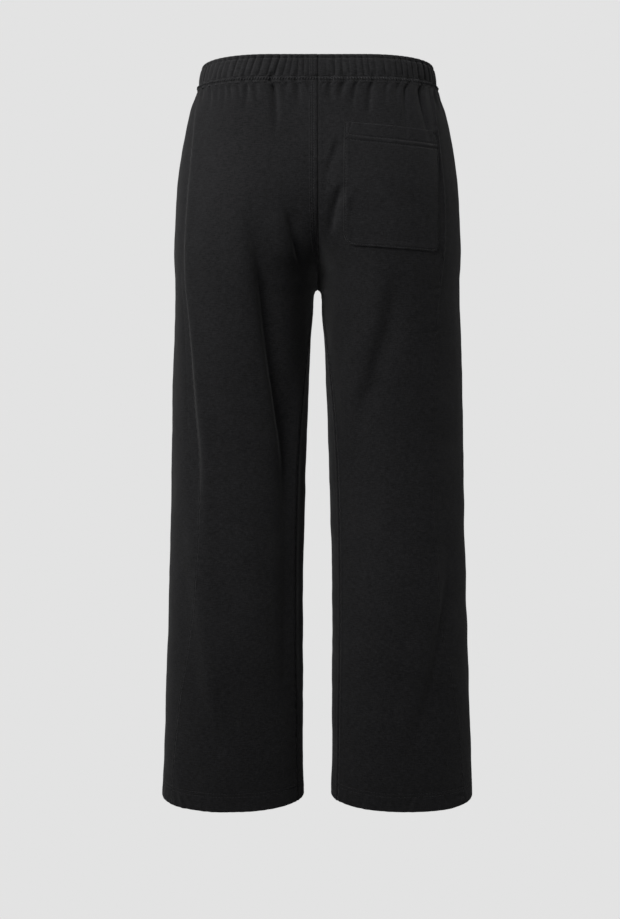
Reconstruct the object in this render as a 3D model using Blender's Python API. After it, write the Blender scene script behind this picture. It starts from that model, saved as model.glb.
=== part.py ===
"""Straight-leg fleece sweatpants, filled out as worn but hollow and open at waist and hems.

Metres, +Z up. The origin is the centre of the waist opening, at the waistband's middle height. The wearer would
face +Y and have the right leg at +X. Four leg panels, a ribbed elastic waistband and one back patch pocket are
separate cloth walls with 0.3 mm between them at the seams.
"""

import math
from typing import NamedTuple

import bmesh
import bpy
import numpy as np

# Cloth and seams
WALL = 0.002
HEM_EXTRA = 0.0015
HEM_HEIGHT = 0.022
SEAM_GAP = 0.0003
HALF_GAP = SEAM_GAP / 2

# Levels, measured down the side of the garment
BAND_TOP = 0.0135
BAND_BOTTOM = -0.0145
CROTCH = -0.272
HEM = -1.003

# The outline's roundness beside the hips and legs: 2 is an ellipse
SIDE_ROUNDNESS = 2.2

# Waistband
RIBS_PER_HALF = 56
RIB_DEPTH = 0.0011
RIB_SHOULDER = 0.0014
BAND_THICKNESS = 0.004
BAND_BULGE = 0.0012

# The share of a leg's columns between its inseam and its furthest point to the back or front, and the depths
# between which the columns of the hips turn to it
BACK_SHARE = 0.46
FRONT_SHARE = 0.34
SHARE_CHANGE = (0.12, 0.23)

# How folds fade: near a panel's own centre edge, at their ends, and as the cloth turns away from their view
FOLD_FADE = (0.001, 0.026)
FOLD_END_SHARE = 0.28
FOLD_FACING = (0.05, 0.45)
# The ridge beside a fold, in widths of its trough
RIDGE_AWAY = 1.7
RIDGE_WIDTH = 1.3
# A trough's width towards its ridge and away from it, as shares of the fold's own
STEEP_SIDE = 0.70
GENTLE_SIDE = 1.45

# Gathers: the half-width of a groove, how soon it starts to fade down its length, and its fade beside a seam
GATHER_WIDTH = 0.0052
GATHER_FADE_START = 0.15
SEAM_FADE = 0.012
FRONT_GATHERS = 18

# The step at which a surface's slope is measured, and the bend past which an edge is drawn sharp
SLOPE_STEP = 0.0008
SHARP_ANGLE = math.radians(50)

BLACK_FLEECE = (0.012, 0.012, 0.0125, 1.0)
BLACK_RIB = (0.010, 0.010, 0.0105, 1.0)


class Section(NamedTuple):
    """One level of the right half. The side, back and front are its furthest points that way.

    The inner point is the leg's own, and above the crotch, where it would be past the centre, the two halves meet.
    """

    level: float
    side: float
    side_y: float
    back_x: float
    back: float
    front_x: float
    front: float
    inner: float
    inner_y: float
    left_seam: float
    right_seam: float
    inseam: float


SECTIONS = (
    #       level   side    side_y  back_x  back    front_x front   inner    inner_y left_seam right_seam inseam
    Section(+0.014, 0.1592, 0.000, 0.0600, -0.089, 0.0600, +0.086,  -0.5000, +0.000, 0.1580,    0.1540,     0.0000),
    Section(-0.014, 0.1645, 0.000, 0.0620, -0.092, 0.0620, +0.089,  -0.5000, +0.000, 0.1630,    0.1560,     0.0000),
    Section(-0.030, 0.1706, -0.001, 0.0640, -0.098, 0.0640, +0.094,  -0.4800, +0.000, 0.1646,    0.1546,     0.0000),
    Section(-0.050, 0.1773, -0.003, 0.0660, -0.105, 0.0660, +0.099,  -0.4400, +0.000, 0.1663,    0.1562,     0.0000),
    Section(-0.090, 0.1852, -0.007, 0.0700, -0.118, 0.0680, +0.105,  -0.3400, +0.000, 0.1690,    0.1602,     0.0000),
    Section(-0.130, 0.1914, -0.011, 0.0740, -0.129, 0.0700, +0.109,  -0.2400, +0.000, 0.1719,    0.1640,     0.0000),
    Section(-0.170, 0.1950, -0.013, 0.0780, -0.136, 0.0740, +0.111,  -0.1500, +0.000, 0.1752,    0.1672,     0.0000),
    Section(-0.210, 0.1970, -0.013, 0.0840, -0.138, 0.0800, +0.111,  -0.0700, +0.000, 0.1782,    0.1683,     0.0000),
    Section(-0.240, 0.1982, -0.012, 0.0900, -0.137, 0.0860, +0.111,  -0.0250, +0.000, 0.1796,    0.1672,     0.0000),
    Section(-0.256, 0.1979, -0.011, 0.0930, -0.1353, 0.0890, +0.111,  -0.0085, +0.000, 0.1798,    0.1657,     0.0000),
    Section(-0.265, 0.1975, -0.011, 0.0946, -0.1339, 0.0906, +0.111,  -0.0020, +0.000, 0.1798,    0.1646,     0.0000),
    Section(-0.272, 0.1972, -0.010, 0.0960, -0.1326, 0.0920, +0.111, HALF_GAP, +0.000, 0.1797,    0.1637,     0.0000),
    Section(-0.280, 0.1970, -0.010, 0.0970, -0.1310, 0.0936, +0.111,   0.0008, +0.000, 0.1795,    0.1628,     0.0009),
    Section(-0.290, 0.1971, -0.009, 0.0980, -0.1289, 0.0950, +0.111,   0.0021, -0.001, 0.1790,    0.1616,     0.0023),
    Section(-0.300, 0.1973, -0.008, 0.0990, -0.1269, 0.0960, +0.111,   0.0048, -0.002, 0.1782,    0.1604,     0.0052),
    Section(-0.320, 0.1980, -0.008, 0.1010, -0.1228, 0.0990, +0.110,   0.0062, -0.003, 0.1762,    0.1588,     0.0075),
    Section(-0.360, 0.1999, -0.007, 0.1040, -0.1150, 0.1020, +0.108,   0.0090, -0.005, 0.1725,    0.1574,     0.0122),
    Section(-0.445, 0.2027, -0.006, 0.1075, -0.103, 0.1060, +0.099,   0.0130, -0.006, 0.1668,    0.1562,     0.0215),
    Section(-0.530, 0.2047, -0.008, 0.1100, -0.097, 0.1090, +0.086,   0.0159, -0.008, 0.1600,    0.1560,     0.0274),
    Section(-0.615, 0.2062, -0.010, 0.1120, -0.097, 0.1110, +0.075,   0.0184, -0.010, 0.1590,    0.1590,     0.0300),
    Section(-0.700, 0.2089, -0.013, 0.1140, -0.099, 0.1130, +0.066,   0.0205, -0.013, 0.1645,    0.1645,     0.0312),
    Section(-0.785, 0.2116, -0.016, 0.1160, -0.098, 0.1150, +0.057,   0.0205, -0.016, 0.1775,    0.1775,     0.0312),
    Section(-0.870, 0.2148, -0.018, 0.1170, -0.092, 0.1170, +0.051,   0.0203, -0.018, 0.1920,    0.1920,     0.0300),
    Section(-0.955, 0.2175, -0.019, 0.1190, -0.086, 0.1190, +0.047,   0.0208, -0.019, 0.2012,    0.2012,     0.0290),
    Section(-0.991, 0.2196, -0.019, 0.1200, -0.083, 0.1200, +0.045,   0.0197, -0.019, 0.2044,    0.2044,     0.0280),
    Section(-1.012, 0.2206, -0.019, 0.1200, -0.082, 0.1200, +0.044,   0.0190, -0.019, 0.2056,    0.2056,     0.0275),
)


class Lift(NamedTuple):
    """How far a level's back and front rise above its side."""

    level: float
    back: float
    front: float


LIFTS = (
    #    level   back    front
    Lift(+0.014, +0.0050, -0.0040),
    Lift(-0.014, +0.0010, -0.0080),
    Lift(-0.130, +0.0000, -0.0040),
    Lift(-0.260, +0.0000, +0.0000),
    Lift(-0.850, +0.0000, +0.0000),
    Lift(-1.003, -0.0090, +0.0080),
)


class Fold(NamedTuple):
    """A soft trough seen from the back or the front, with a ridge on one side of it.

    Points are x and level. The ridge lies at the +X side of a trough that runs down, or at its -X side if negative.
    """

    face: str
    depth: float
    ridge: float
    width: float
    points: tuple


FOLDS = (
    Fold("back", 0.0100, -0.0035, 0.0130, (
        (-0.095, -0.176), (-0.078, -0.249), (-0.066, -0.335), (-0.056, -0.408), (-0.050, -0.450), (-0.043, -0.500),
        (-0.039, -0.560), (-0.038, -0.620))),
    Fold("back", 0.0050, -0.0020, 0.0240, ((-0.048, -0.480), (-0.038, -0.600), (-0.036, -0.740), (-0.046, -0.900))),
    Fold("back", 0.0050, -0.0020, 0.0090, ((-0.040, -0.190), (-0.028, -0.230), (-0.020, -0.262))),
    Fold("back", 0.0040, +0.0020, 0.0075, ((0.030, -0.156), (0.018, -0.192), (0.013, -0.226))),
    Fold("back", 0.0055, -0.0025, 0.0135, (
        (0.106, -0.252), (0.100, -0.295), (0.092, -0.345), (0.081, -0.381), (0.073, -0.415), (0.062, -0.445),
        (0.050, -0.490))),
    Fold("back", 0.0056, -0.0018, 0.0130, (
        (0.180, -0.620), (0.179, -0.683), (0.172, -0.740), (0.165, -0.784), (0.157, -0.825), (0.149, -0.865),
        (0.138, -0.900), (0.122, -0.935))),
    Fold("front", 0.0060, +0.0035, 0.0140, (
        (0.035, -0.230), (0.060, -0.290), (0.075, -0.370), (0.080, -0.450), (0.078, -0.540))),
    Fold("front", 0.0050, +0.0030, 0.0130, ((-0.020, -0.215), (-0.048, -0.262), (-0.078, -0.320), (-0.098, -0.385))),
    Fold("front", 0.0060, -0.0035, 0.0150, (
        (-0.150, -0.560), (-0.135, -0.620), (-0.120, -0.700), (-0.112, -0.790), (-0.110, -0.880))),
    Fold("front", 0.0050, +0.0030, 0.0130, ((0.060, -0.680), (0.085, -0.745), (0.120, -0.800), (0.150, -0.840))),
)


class Gather(NamedTuple):
    """A groove under the waistband: its place as a share of the panel's top edge, from the centre seam."""

    place: float
    depth: float
    length: float
    lean: float


BACK_LEFT_GATHERS = (
    #      place  depth   length  lean
    Gather(0.060, 0.0010, 0.028, +0.00),
    Gather(0.144, 0.0024, 0.050, -0.02),
    Gather(0.225, 0.0014, 0.034, +0.00),
    Gather(0.311, 0.0042, 0.085, -0.03),
    Gather(0.435, 0.0020, 0.040, +0.00),
    Gather(0.493, 0.0026, 0.055, +0.13),
    Gather(0.567, 0.0018, 0.036, -0.08),
    Gather(0.629, 0.0022, 0.042, +0.00),
    Gather(0.679, 0.0022, 0.050, +0.03),
    Gather(0.735, 0.0020, 0.036, +0.00),
    Gather(0.810, 0.0024, 0.060, +0.08),
    Gather(0.900, 0.0014, 0.032, +0.00),
)
BACK_RIGHT_GATHERS = (
    #      place  depth   length  lean
    Gather(0.094, 0.0020, 0.042, +0.00),
    Gather(0.204, 0.0030, 0.034, -0.20),
    Gather(0.299, 0.0020, 0.055, -0.14),
    Gather(0.360, 0.0010, 0.028, +0.00),
    Gather(0.423, 0.0030, 0.060, -0.10),
    Gather(0.480, 0.0010, 0.028, +0.00),
    Gather(0.535, 0.0018, 0.042, +0.00),
    Gather(0.633, 0.0020, 0.040, +0.00),
    Gather(0.713, 0.0036, 0.095, -0.14),
    Gather(0.836, 0.0034, 0.095, +0.12),
    Gather(0.885, 0.0014, 0.030, +0.00),
    Gather(0.955, 0.0016, 0.070, +0.15),
)


def even_gathers(count, seed):
    """Grooves about evenly spaced, of uneven depth and length, for a front panel."""
    chance = np.random.default_rng(seed)
    return tuple(
        Gather(
            place=(k + chance.uniform(0.3, 0.7)) / count,
            depth=chance.triangular(0.0010, 0.0012, 0.0034),
            length=chance.uniform(0.028, 0.070),
            lean=chance.uniform(-0.08, 0.08),
        )
        for k in range(count)
    )


GATHERS = {
    "back_left": BACK_LEFT_GATHERS,
    "back_right": BACK_RIGHT_GATHERS,
    "front_left": even_gathers(FRONT_GATHERS, 3),
    "front_right": even_gathers(FRONT_GATHERS, 8),
}

# Levels of the panels' rows: the gathered ones have twice as many columns
GATHERED_LEVELS = (BAND_BOTTOM - HALF_GAP, -0.028, -0.040, -0.055)
PANEL_LEVELS = (
    -0.075, -0.100, -0.127, -0.154, -0.181, -0.206, -0.226, -0.242, -0.254, -0.2625, -0.268, CROTCH,
    -0.276, -0.284, -0.296, -0.312, -0.332, -0.356, -0.384, -0.416, -0.452, -0.490, -0.530, -0.572, -0.615,
    -0.658, -0.700, -0.742, -0.784, -0.826, -0.868, -0.908, -0.946,
)
HEM_LEVELS = (HEM + HEM_HEIGHT, HEM)
HEM_STEP = 0.0006


class PocketSize(NamedTuple):
    """The back patch pocket's outline in x and level, laid on the right back panel."""

    top_in: tuple = (0.0345, -0.0735)
    top_out: tuple = (0.1575, -0.0835)
    top_sag: float = 0.0012
    foot_in: tuple = (0.0335, -0.2360)
    foot_out: tuple = (0.1600, -0.2450)
    round_in: float = 0.0130
    round_out: float = 0.0080
    hem: float = 0.0205
    hem_extra: float = 0.0008
    wall: float = 0.0018
    stand_off: float = 0.0006
    columns: int = 13
    rows: int = 12


POCKET = PocketSize()


class Curve:
    """A smooth curve through the values given at rising places, with no overshoot between them."""

    def __init__(self, places, values):
        order = np.argsort(places)
        self.places = np.asarray(places, float)[order]
        self.values = np.asarray(values, float)[order]
        steps = np.diff(self.places)
        rates = np.diff(self.values) / steps
        slopes = np.empty_like(self.values)
        slopes[0], slopes[-1] = rates[0], rates[-1]
        before, after = rates[:-1], rates[1:]
        weight_a, weight_b = 2 * steps[1:] + steps[:-1], steps[1:] + 2 * steps[:-1]
        same_way = before * after > 0
        safe_before = np.where(same_way, before, 1.0)
        safe_after = np.where(same_way, after, 1.0)
        middle = (weight_a + weight_b) / (weight_a / safe_before + weight_b / safe_after)
        slopes[1:-1] = np.where(same_way, middle, 0.0)
        self.slopes = slopes

    def __call__(self, place):
        index = np.clip(np.searchsorted(self.places, place) - 1, 0, len(self.places) - 2)
        step = self.places[index + 1] - self.places[index]
        share = np.clip((place - self.places[index]) / step, 0.0, 1.0)
        rise = share * share * (3 - 2 * share)
        start = self.values[index] + (self.values[index + 1] - self.values[index]) * rise
        lead = share * (1 - share) ** 2 * self.slopes[index]
        trail = share * share * (1 - share) * self.slopes[index + 1]
        return start + step * (lead - trail)


def columns_of(table):
    """A curve by level for each named column of a table."""
    names = table[0]._fields[1:]
    levels = [row.level for row in table]
    return {name: Curve(levels, [getattr(row, name) for row in table]) for name in names}


SECTION_CURVES = columns_of(SECTIONS)
LIFT_CURVES = columns_of(LIFTS)
LOOPS = {}
TOP_LENGTHS = {}


def ease(value, start, end):
    """0 before start, 1 past end, smooth between."""
    share = np.clip((value - start) / (end - start), 0.0, 1.0)
    return share * share * (3 - 2 * share)


def rounded(value, roundness):
    """A sine or cosine bent so that an arc drawn with both is squarer than an ellipse."""
    return np.clip(value, 0.0, 1.0) ** (2 / roundness)


class Loop:
    """The right half's outline at one level, from the centre back or inseam round the side to the front."""

    COUNT = 257

    def __init__(self, level):
        size = {name: float(curve(level)) for name, curve in SECTION_CURVES.items()}
        back = (size["back_x"], size["back"])
        side = (size["side"], size["side_y"])
        front = (size["front_x"], size["front"])
        inner = (size["inner"], size["inner_y"])
        angles = np.linspace(0.0, math.pi / 2, self.COUNT)
        out, along = rounded(np.sin(angles), SIDE_ROUNDNESS), rounded(np.cos(angles), SIDE_ROUNDNESS)
        arcs = (
            from_seam(back, inner, max(size["inseam"], HALF_GAP), self.COUNT),
            (back[0] + (side[0] - back[0]) * out, side[1] + (back[1] - side[1]) * along),
            (front[0] + (side[0] - front[0]) * along, side[1] + (front[1] - side[1]) * out),
            to_seam(back, front, inner, max(size["inseam"], HALF_GAP), self.COUNT),
        )
        self.x = np.concatenate([arc[0][:-1] for arc in arcs] + [arcs[-1][0][-1:]])
        self.y = np.concatenate([arc[1][:-1] for arc in arcs] + [arcs[-1][1][-1:]])
        steps = np.hypot(np.diff(self.x), np.diff(self.y))
        self.distance = np.concatenate([[0.0], np.cumsum(steps)])
        self.length = self.distance[-1]
        self.back_most = self.distance[self.COUNT - 1]
        self.front_most = self.distance[3 * (self.COUNT - 1)]
        stretch = slice(self.COUNT - 1, 2 * self.COUNT - 1)
        self.side_seam = {
            half: float(np.interp(size[f"{half}_seam"], self.x[stretch], self.distance[stretch]))
            for half in ("left", "right")
        }
        run_x, run_y = np.gradient(self.x, self.distance), np.gradient(self.y, self.distance)
        self.out_x, self.out_y = run_y, -run_x
        self.middle_y = side[1]
        self.back_y, self.front_y = back[1], front[1]

    def at(self, distance):
        """Place and outward direction, level with the ground, at distances along the loop."""
        x, y = np.interp(distance, self.distance, self.x), np.interp(distance, self.distance, self.y)
        out_x = np.interp(distance, self.distance, self.out_x)
        out_y = np.interp(distance, self.distance, self.out_y)
        size = np.maximum(np.hypot(out_x, out_y), 1e-9)
        return x, y, out_x / size, out_y / size


def turn_at(extreme, inner, x):
    """The turn from a leg's inner point towards its back or front at which it reaches x."""
    return math.acos(min((extreme[0] - x) / (extreme[0] - inner[0]), 1.0))


def inner_arc(extreme, inner, turn):
    """Points of a leg's inner quarter, from its inner point round to its back or front."""
    x = extreme[0] - (extreme[0] - inner[0]) * np.cos(turn)
    return x, inner[1] + (extreme[1] - inner[1]) * np.sin(turn)


def from_seam(back, inner, seam_x, count):
    """Points from the centre seam, or from a leg's inseam, out to its furthest point back."""
    return inner_arc(back, inner, np.linspace(turn_at(back, inner, seam_x), math.pi / 2, count))


def to_seam(back, front, inner, seam_x, count):
    """Points in from the front: to the centre seam or, on a leg, past its inner point to an inseam behind it."""
    if inner[0] < HALF_GAP:
        return inner_arc(front, inner, np.linspace(math.pi / 2, turn_at(front, inner, seam_x), count))
    x, y = inner_arc(front, inner, np.linspace(math.pi / 2, 0.0, count))
    seam_turn = turn_at(back, inner, seam_x)
    if seam_turn == 0.0:
        return x, y
    more_x, more_y = inner_arc(back, inner, np.linspace(0.0, seam_turn, count)[1:])
    return np.concatenate([x, more_x]), np.concatenate([y, more_y])


def loop_at(level):
    key = round(level, 6)
    if key not in LOOPS:
        LOOPS[key] = Loop(key)
    return LOOPS[key]


def trough(across, fold):
    """A fold's cross-section: the trough, steeper towards its ridge, and the ridge."""
    width = fold.width * np.where(across * fold.ridge > 0, STEEP_SIDE, GENTLE_SIDE)
    low = -fold.depth * np.exp(-((across / width) ** 2))
    beside = across - math.copysign(RIDGE_AWAY * fold.width, fold.ridge)
    return low + abs(fold.ridge) * np.exp(-((beside / (RIDGE_WIDTH * fold.width)) ** 2))


def smooth_path(points, count=60):
    """A rounded path through a fold's few points."""
    points = np.asarray(points, float)
    steps = np.concatenate([[0.0], np.cumsum(np.hypot(*np.diff(points, axis=0).T))])
    along = np.linspace(0.0, steps[-1], count)
    return np.column_stack([Curve(steps, points[:, 0])(along), Curve(steps, points[:, 1])(along)])


def fold_relief(fold, x, z):
    """A fold's height at places on the cloth, by the way across it, faded towards its two ends."""
    path = smooth_path(fold.points)
    spans = np.diff(path, axis=0)
    gap_x, gap_z = x[:, None] - path[:-1, 0], z[:, None] - path[:-1, 1]
    along = (gap_x * spans[:, 0] + gap_z * spans[:, 1]) / np.sum(spans**2, axis=1)
    along = np.clip(along, 0.0, 1.0)
    off_x, off_z = gap_x - along * spans[:, 0], gap_z - along * spans[:, 1]
    nearest = np.argmin(off_x**2 + off_z**2, axis=1)
    rows = np.arange(len(x))
    off_x, off_z = off_x[rows, nearest], off_z[rows, nearest]
    side = np.sign(off_z * spans[nearest, 0] - off_x * spans[nearest, 1])
    share = (nearest + along[rows, nearest]) / len(spans)
    fade = ease(share, 0.0, FOLD_END_SHARE) * ease(1 - share, 0.0, FOLD_END_SHARE)
    return trough(side * np.hypot(off_x, off_z), fold) * fade


def folds_at(half, x, level, out_y):
    """The folds' height over the smooth cloth. They fade where the surface turns away from their view."""
    height = np.zeros_like(x)
    z = np.full_like(x, level)
    for fold in FOLDS:
        facing = -out_y if fold.face == "back" else out_y
        height += fold_relief(fold, half * x, z) * ease(facing, *FOLD_FACING)
    return height


def gathers_at(panel, share, level):
    """The grooves' depth at shares of the way from the panel's centre edge to its side edge."""
    height = np.zeros_like(share)
    below = BAND_BOTTOM - level
    width = top_length(panel)
    for gather in GATHERS[panel]:
        fade = ease(below, gather.length, GATHER_FADE_START * gather.length)
        away = (share - gather.place) * width - gather.lean * below
        height -= gather.depth * fade * np.exp(-((away / GATHER_WIDTH) ** 2))
    return height * ease(share * width, 0.0, SEAM_FADE) * ease((1 - share) * width, 0.0, SEAM_FADE)


def panel_distances(panel, share, level):
    """Distances from a panel's centre or inseam edge, and its width, for shares of the way to its side seam.

    The columns keep their run down the leg where the outline turns in under the seat.
    """
    loop = loop_at(level)
    face, half = panel.split("_")
    seam = loop.side_seam[half]
    if face == "back":
        width, extreme, leg_share = seam, loop.back_most, BACK_SHARE
    else:
        width, extreme, leg_share = loop.length - seam, loop.length - loop.front_most, FRONT_SHARE
    change = float(ease(-level, *SHARE_CHANGE))
    extreme_share = (1 - change) * extreme / width + change * leg_share
    return np.interp(share, [0.0, extreme_share, 1.0], [0.0, extreme, width]), width


def top_length(panel):
    if panel not in TOP_LENGTHS:
        TOP_LENGTHS[panel] = panel_distances(panel, 0.0, BAND_BOTTOM)[1]
    return TOP_LENGTHS[panel]


def half_of(panel):
    return -1.0 if panel.endswith("left") else 1.0


def lifted(level, y, loop):
    """The height of a point whose level is given, at the back raised or lowered against the side."""
    back_share = np.maximum((loop.middle_y - y) / (loop.middle_y - loop.back_y), 0.0)
    front_share = np.maximum((y - loop.middle_y) / (loop.front_y - loop.middle_y), 0.0)
    back, front = float(LIFT_CURVES["back"](level)), float(LIFT_CURVES["front"](level))
    return level + back * back_share + front * front_share


def outer(panel, share, level, gathered=True):
    """Points of a panel's outer face, on the panel's own side of its seams."""
    loop = loop_at(level)
    share = np.asarray(share, float)
    centre_gap = HALF_GAP if level < CROTCH + HALF_GAP else 0.0
    distance, width = panel_distances(panel, share, level)
    distance = np.clip(distance, centre_gap, width - HALF_GAP)
    if panel.startswith("front"):
        distance = loop.length - distance
    x, y, out_x, out_y = loop.at(distance)
    height = folds_at(half_of(panel), x, level, out_y) * ease(distance, *FOLD_FADE)
    height = height * ease(loop.length - distance, *FOLD_FADE)
    if gathered:
        height = height + gathers_at(panel, share, level)
    x = np.maximum(x + out_x * height, HALF_GAP)
    y = y + out_y * height
    return np.column_stack([half_of(panel) * x, y, lifted(level, y, loop)])


def normals(panel, share, level, gathered=True):
    """Directions straight out of a panel's outer face."""
    aside = SLOPE_STEP / top_length(panel)
    before = outer(panel, np.maximum(share - aside, 0.0), level, gathered)
    after = outer(panel, np.minimum(share + aside, 1.0), level, gathered)
    over = outer(panel, share, level + SLOPE_STEP, gathered)
    under = outer(panel, share, level - SLOPE_STEP, gathered)
    out = np.cross(after - before, over - under)
    out /= np.linalg.norm(out, axis=1)[:, None]
    turned = half_of(panel) * (1.0 if panel.startswith("back") else -1.0)
    return out * turned


def strip_faces(above, below):
    """Faces between two rows of point numbers, with as many points each or twice as many above."""
    if len(above) == len(below):
        return [(above[k], below[k], below[k + 1], above[k + 1]) for k in range(len(above) - 1)]
    faces = []
    for k in range(len(below) - 1):
        left, middle, right = above[2 * k], above[2 * k + 1], above[2 * k + 2]
        faces += [(left, below[k], middle), (middle, below[k], below[k + 1]), (middle, below[k + 1], right)]
    return faces


def numbered(rows, first):
    """Point numbers row by row, counted on from the first."""
    numbers = []
    for row in rows:
        numbers.append(list(range(first, first + len(row))))
        first += len(row)
    return numbers


def wall_mesh(name, outer_rows, inner_rows):
    """A closed cloth wall between an outer and an inner face, given row by row from the top."""
    outside = numbered(outer_rows, 0)
    inside = numbered(inner_rows, sum(len(row) for row in outer_rows))
    faces = []
    for numbers in (outside, inside):
        for above, below in zip(numbers, numbers[1:]):
            faces += strip_faces(above, below)
    for outer_edge, inner_edge in (
        (outside[0], inside[0]),
        (outside[-1], inside[-1]),
        ([row[0] for row in outside], [row[0] for row in inside]),
        ([row[-1] for row in outside], [row[-1] for row in inside]),
    ):
        faces += strip_faces(outer_edge, inner_edge)
    return new_mesh(name, np.concatenate(outer_rows + inner_rows), faces)


def new_mesh(name, points, faces):
    """A mesh whose faces all point outwards."""
    mesh = bpy.data.meshes.new(name)
    mesh.from_pydata([tuple(point) for point in points], [], faces)
    shape = bmesh.new()
    shape.from_mesh(mesh)
    bmesh.ops.recalc_face_normals(shape, faces=shape.faces)
    shape.to_mesh(mesh)
    shape.free()
    mesh.shade_smooth()
    mesh.set_sharp_from_angle(angle=SHARP_ANGLE)
    return mesh


def cloth(name, colour, roughness):
    material = bpy.data.materials.new(name)
    material.use_nodes = True
    surface = material.node_tree.nodes["Principled BSDF"]
    surface.inputs["Base Color"].default_value = colour
    surface.inputs["Roughness"].default_value = roughness
    surface.inputs["Metallic"].default_value = 0.0
    return material


def add_piece(collection, mesh, material):
    mesh.materials.append(material)
    collection.objects.link(bpy.data.objects.new(mesh.name, mesh))


def panel_shares(panel):
    """Column places: at each gather and halfway between them, and every second of these below the gathers."""
    grooves = [gather.place for gather in GATHERS[panel]]
    between = [(a + b) / 2 for a, b in zip(grooves, grooves[1:])]
    fine = [0.0]
    for groove, after in zip(grooves, between + [1.0]):
        fine += [groove, after]
    return np.array(fine), np.array(fine[::2])


def inner_points(panel, share, level, thickness):
    """Points of a panel's inner face, kept on its own side of the centre."""
    points = outer(panel, share, level) - thickness * normals(panel, share, level)
    if level > CROTCH - HALF_GAP:
        side = half_of(panel)
        points[:, 0] = side * np.maximum(side * points[:, 0], HALF_GAP)
    return points


def leg_panel(panel):
    """One leg panel from the waistband to the hem, its hem turned up inside."""
    fine, coarse = panel_shares(panel)
    rows = [(fine, level, WALL) for level in GATHERED_LEVELS]
    rows += [(coarse, level, WALL) for level in PANEL_LEVELS]
    rows.append((coarse, HEM_LEVELS[0] + HEM_STEP, WALL))
    rows += [(coarse, level, WALL + HEM_EXTRA) for level in HEM_LEVELS]
    outer_rows = [outer(panel, share, level) for share, level, _ in rows]
    inner_rows = [inner_points(panel, share, level, thickness) for share, level, thickness in rows]
    return wall_mesh(panel, outer_rows, inner_rows)


def rib_places(length):
    """Distances along half the waistband and the depth there: each rib's groove, then its two shoulders."""
    pitch = length / RIBS_PER_HALF
    places = []
    for k in range(RIBS_PER_HALF):
        places += [(k * pitch, RIB_DEPTH), (k * pitch + RIB_SHOULDER, 0.0), ((k + 1) * pitch - RIB_SHOULDER, 0.0)]
    places.append((length, RIB_DEPTH))
    return np.array(places)


def band_half(level, bulge):
    """Outer ribbed points and inner plain points of the right half of the waistband at a level."""
    loop = loop_at(level)
    places = rib_places(loop.length)
    x, y, out_x, out_y = loop.at(places[:, 0])
    height = bulge - places[:, 1]
    ribbed = np.column_stack([x + out_x * height, y + out_y * height])
    plain = np.column_stack([x - out_x * BAND_THICKNESS, y - out_y * BAND_THICKNESS])[::3]
    halves = []
    for points in (ribbed, plain):
        points[:, 0] = np.maximum(points[:, 0], HALF_GAP)
        halves.append(np.column_stack([points, lifted(level, points[:, 1], loop)]))
    return halves


def band_row(level, bulge):
    """The waistband all round, from one side of the centre back to the other, joined at the centre front."""
    rows = []
    for points in band_half(level, bulge):
        points[-1, 0] = 0.0
        mirrored = points[-2::-1] * np.array([-1.0, 1.0, 1.0])
        rows.append(np.concatenate([points, mirrored]))
    return rows


def waistband():
    """A ribbed strip round the waist: ribs raised on its outside over a plain inside."""
    rows = [
        band_row(BAND_BOTTOM + HALF_GAP, 0.0),
        band_row((BAND_BOTTOM + BAND_TOP) / 2, BAND_BULGE),
        band_row(BAND_TOP, 0.0),
    ]
    ribbed, plain = [row[0] for row in rows], [row[1] for row in rows]
    outside = numbered(ribbed, 0)
    inside = numbered(plain, sum(len(row) for row in ribbed))
    faces = []
    for numbers in (outside, inside):
        for above, below in zip(numbers, numbers[1:]):
            faces += strip_faces(above, below)
    for outer_edge, inner_edge in ((outside[0], inside[0]), (outside[-1], inside[-1])):
        for k in range(len(inner_edge) - 1):
            rib = outer_edge[3 * k : 3 * k + 4]
            faces.append((*rib, inner_edge[k + 1], inner_edge[k]))
    for end in (0, -1):
        faces += strip_faces([row[end] for row in outside], [row[end] for row in inside])
    return new_mesh("waistband", np.concatenate(ribbed + plain), faces)


def pocket_edge_rise(away, roundness):
    """How far a rounded lower corner lifts the pocket's foot, at a distance in from its side."""
    short = np.clip(roundness - away, 0.0, roundness)
    return roundness - np.sqrt(roundness**2 - short**2)


def pocket_row(across, down):
    """Points of the pocket on the panel, for shares across and one share down."""
    size = POCKET
    top_x = size.top_in[0] + (size.top_out[0] - size.top_in[0]) * across
    foot_x = size.foot_in[0] + (size.foot_out[0] - size.foot_in[0]) * across
    top = size.top_in[1] + (size.top_out[1] - size.top_in[1]) * across
    top -= size.top_sag * 4 * across * (1 - across)
    foot = size.foot_in[1] + (size.foot_out[1] - size.foot_in[1]) * across
    foot += pocket_edge_rise(foot_x - size.foot_in[0], size.round_in)
    foot += pocket_edge_rise(size.foot_out[0] - foot_x, size.round_out)
    return top_x + (foot_x - top_x) * down, top + (foot - top) * down


def on_panel(panel, x, level):
    """A point of a back panel and the direction out of it, found by its x and level."""
    loop = loop_at(level)
    reach = 2 * Loop.COUNT - 1
    distance = np.interp(x, loop.x[:reach], loop.distance[:reach])
    shares = np.linspace(0.0, 1.0, 101)
    share = np.interp([distance], panel_distances(panel, shares, level)[0], shares)
    return outer(panel, share, level, False)[0], normals(panel, share, level, False)[0]


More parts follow.
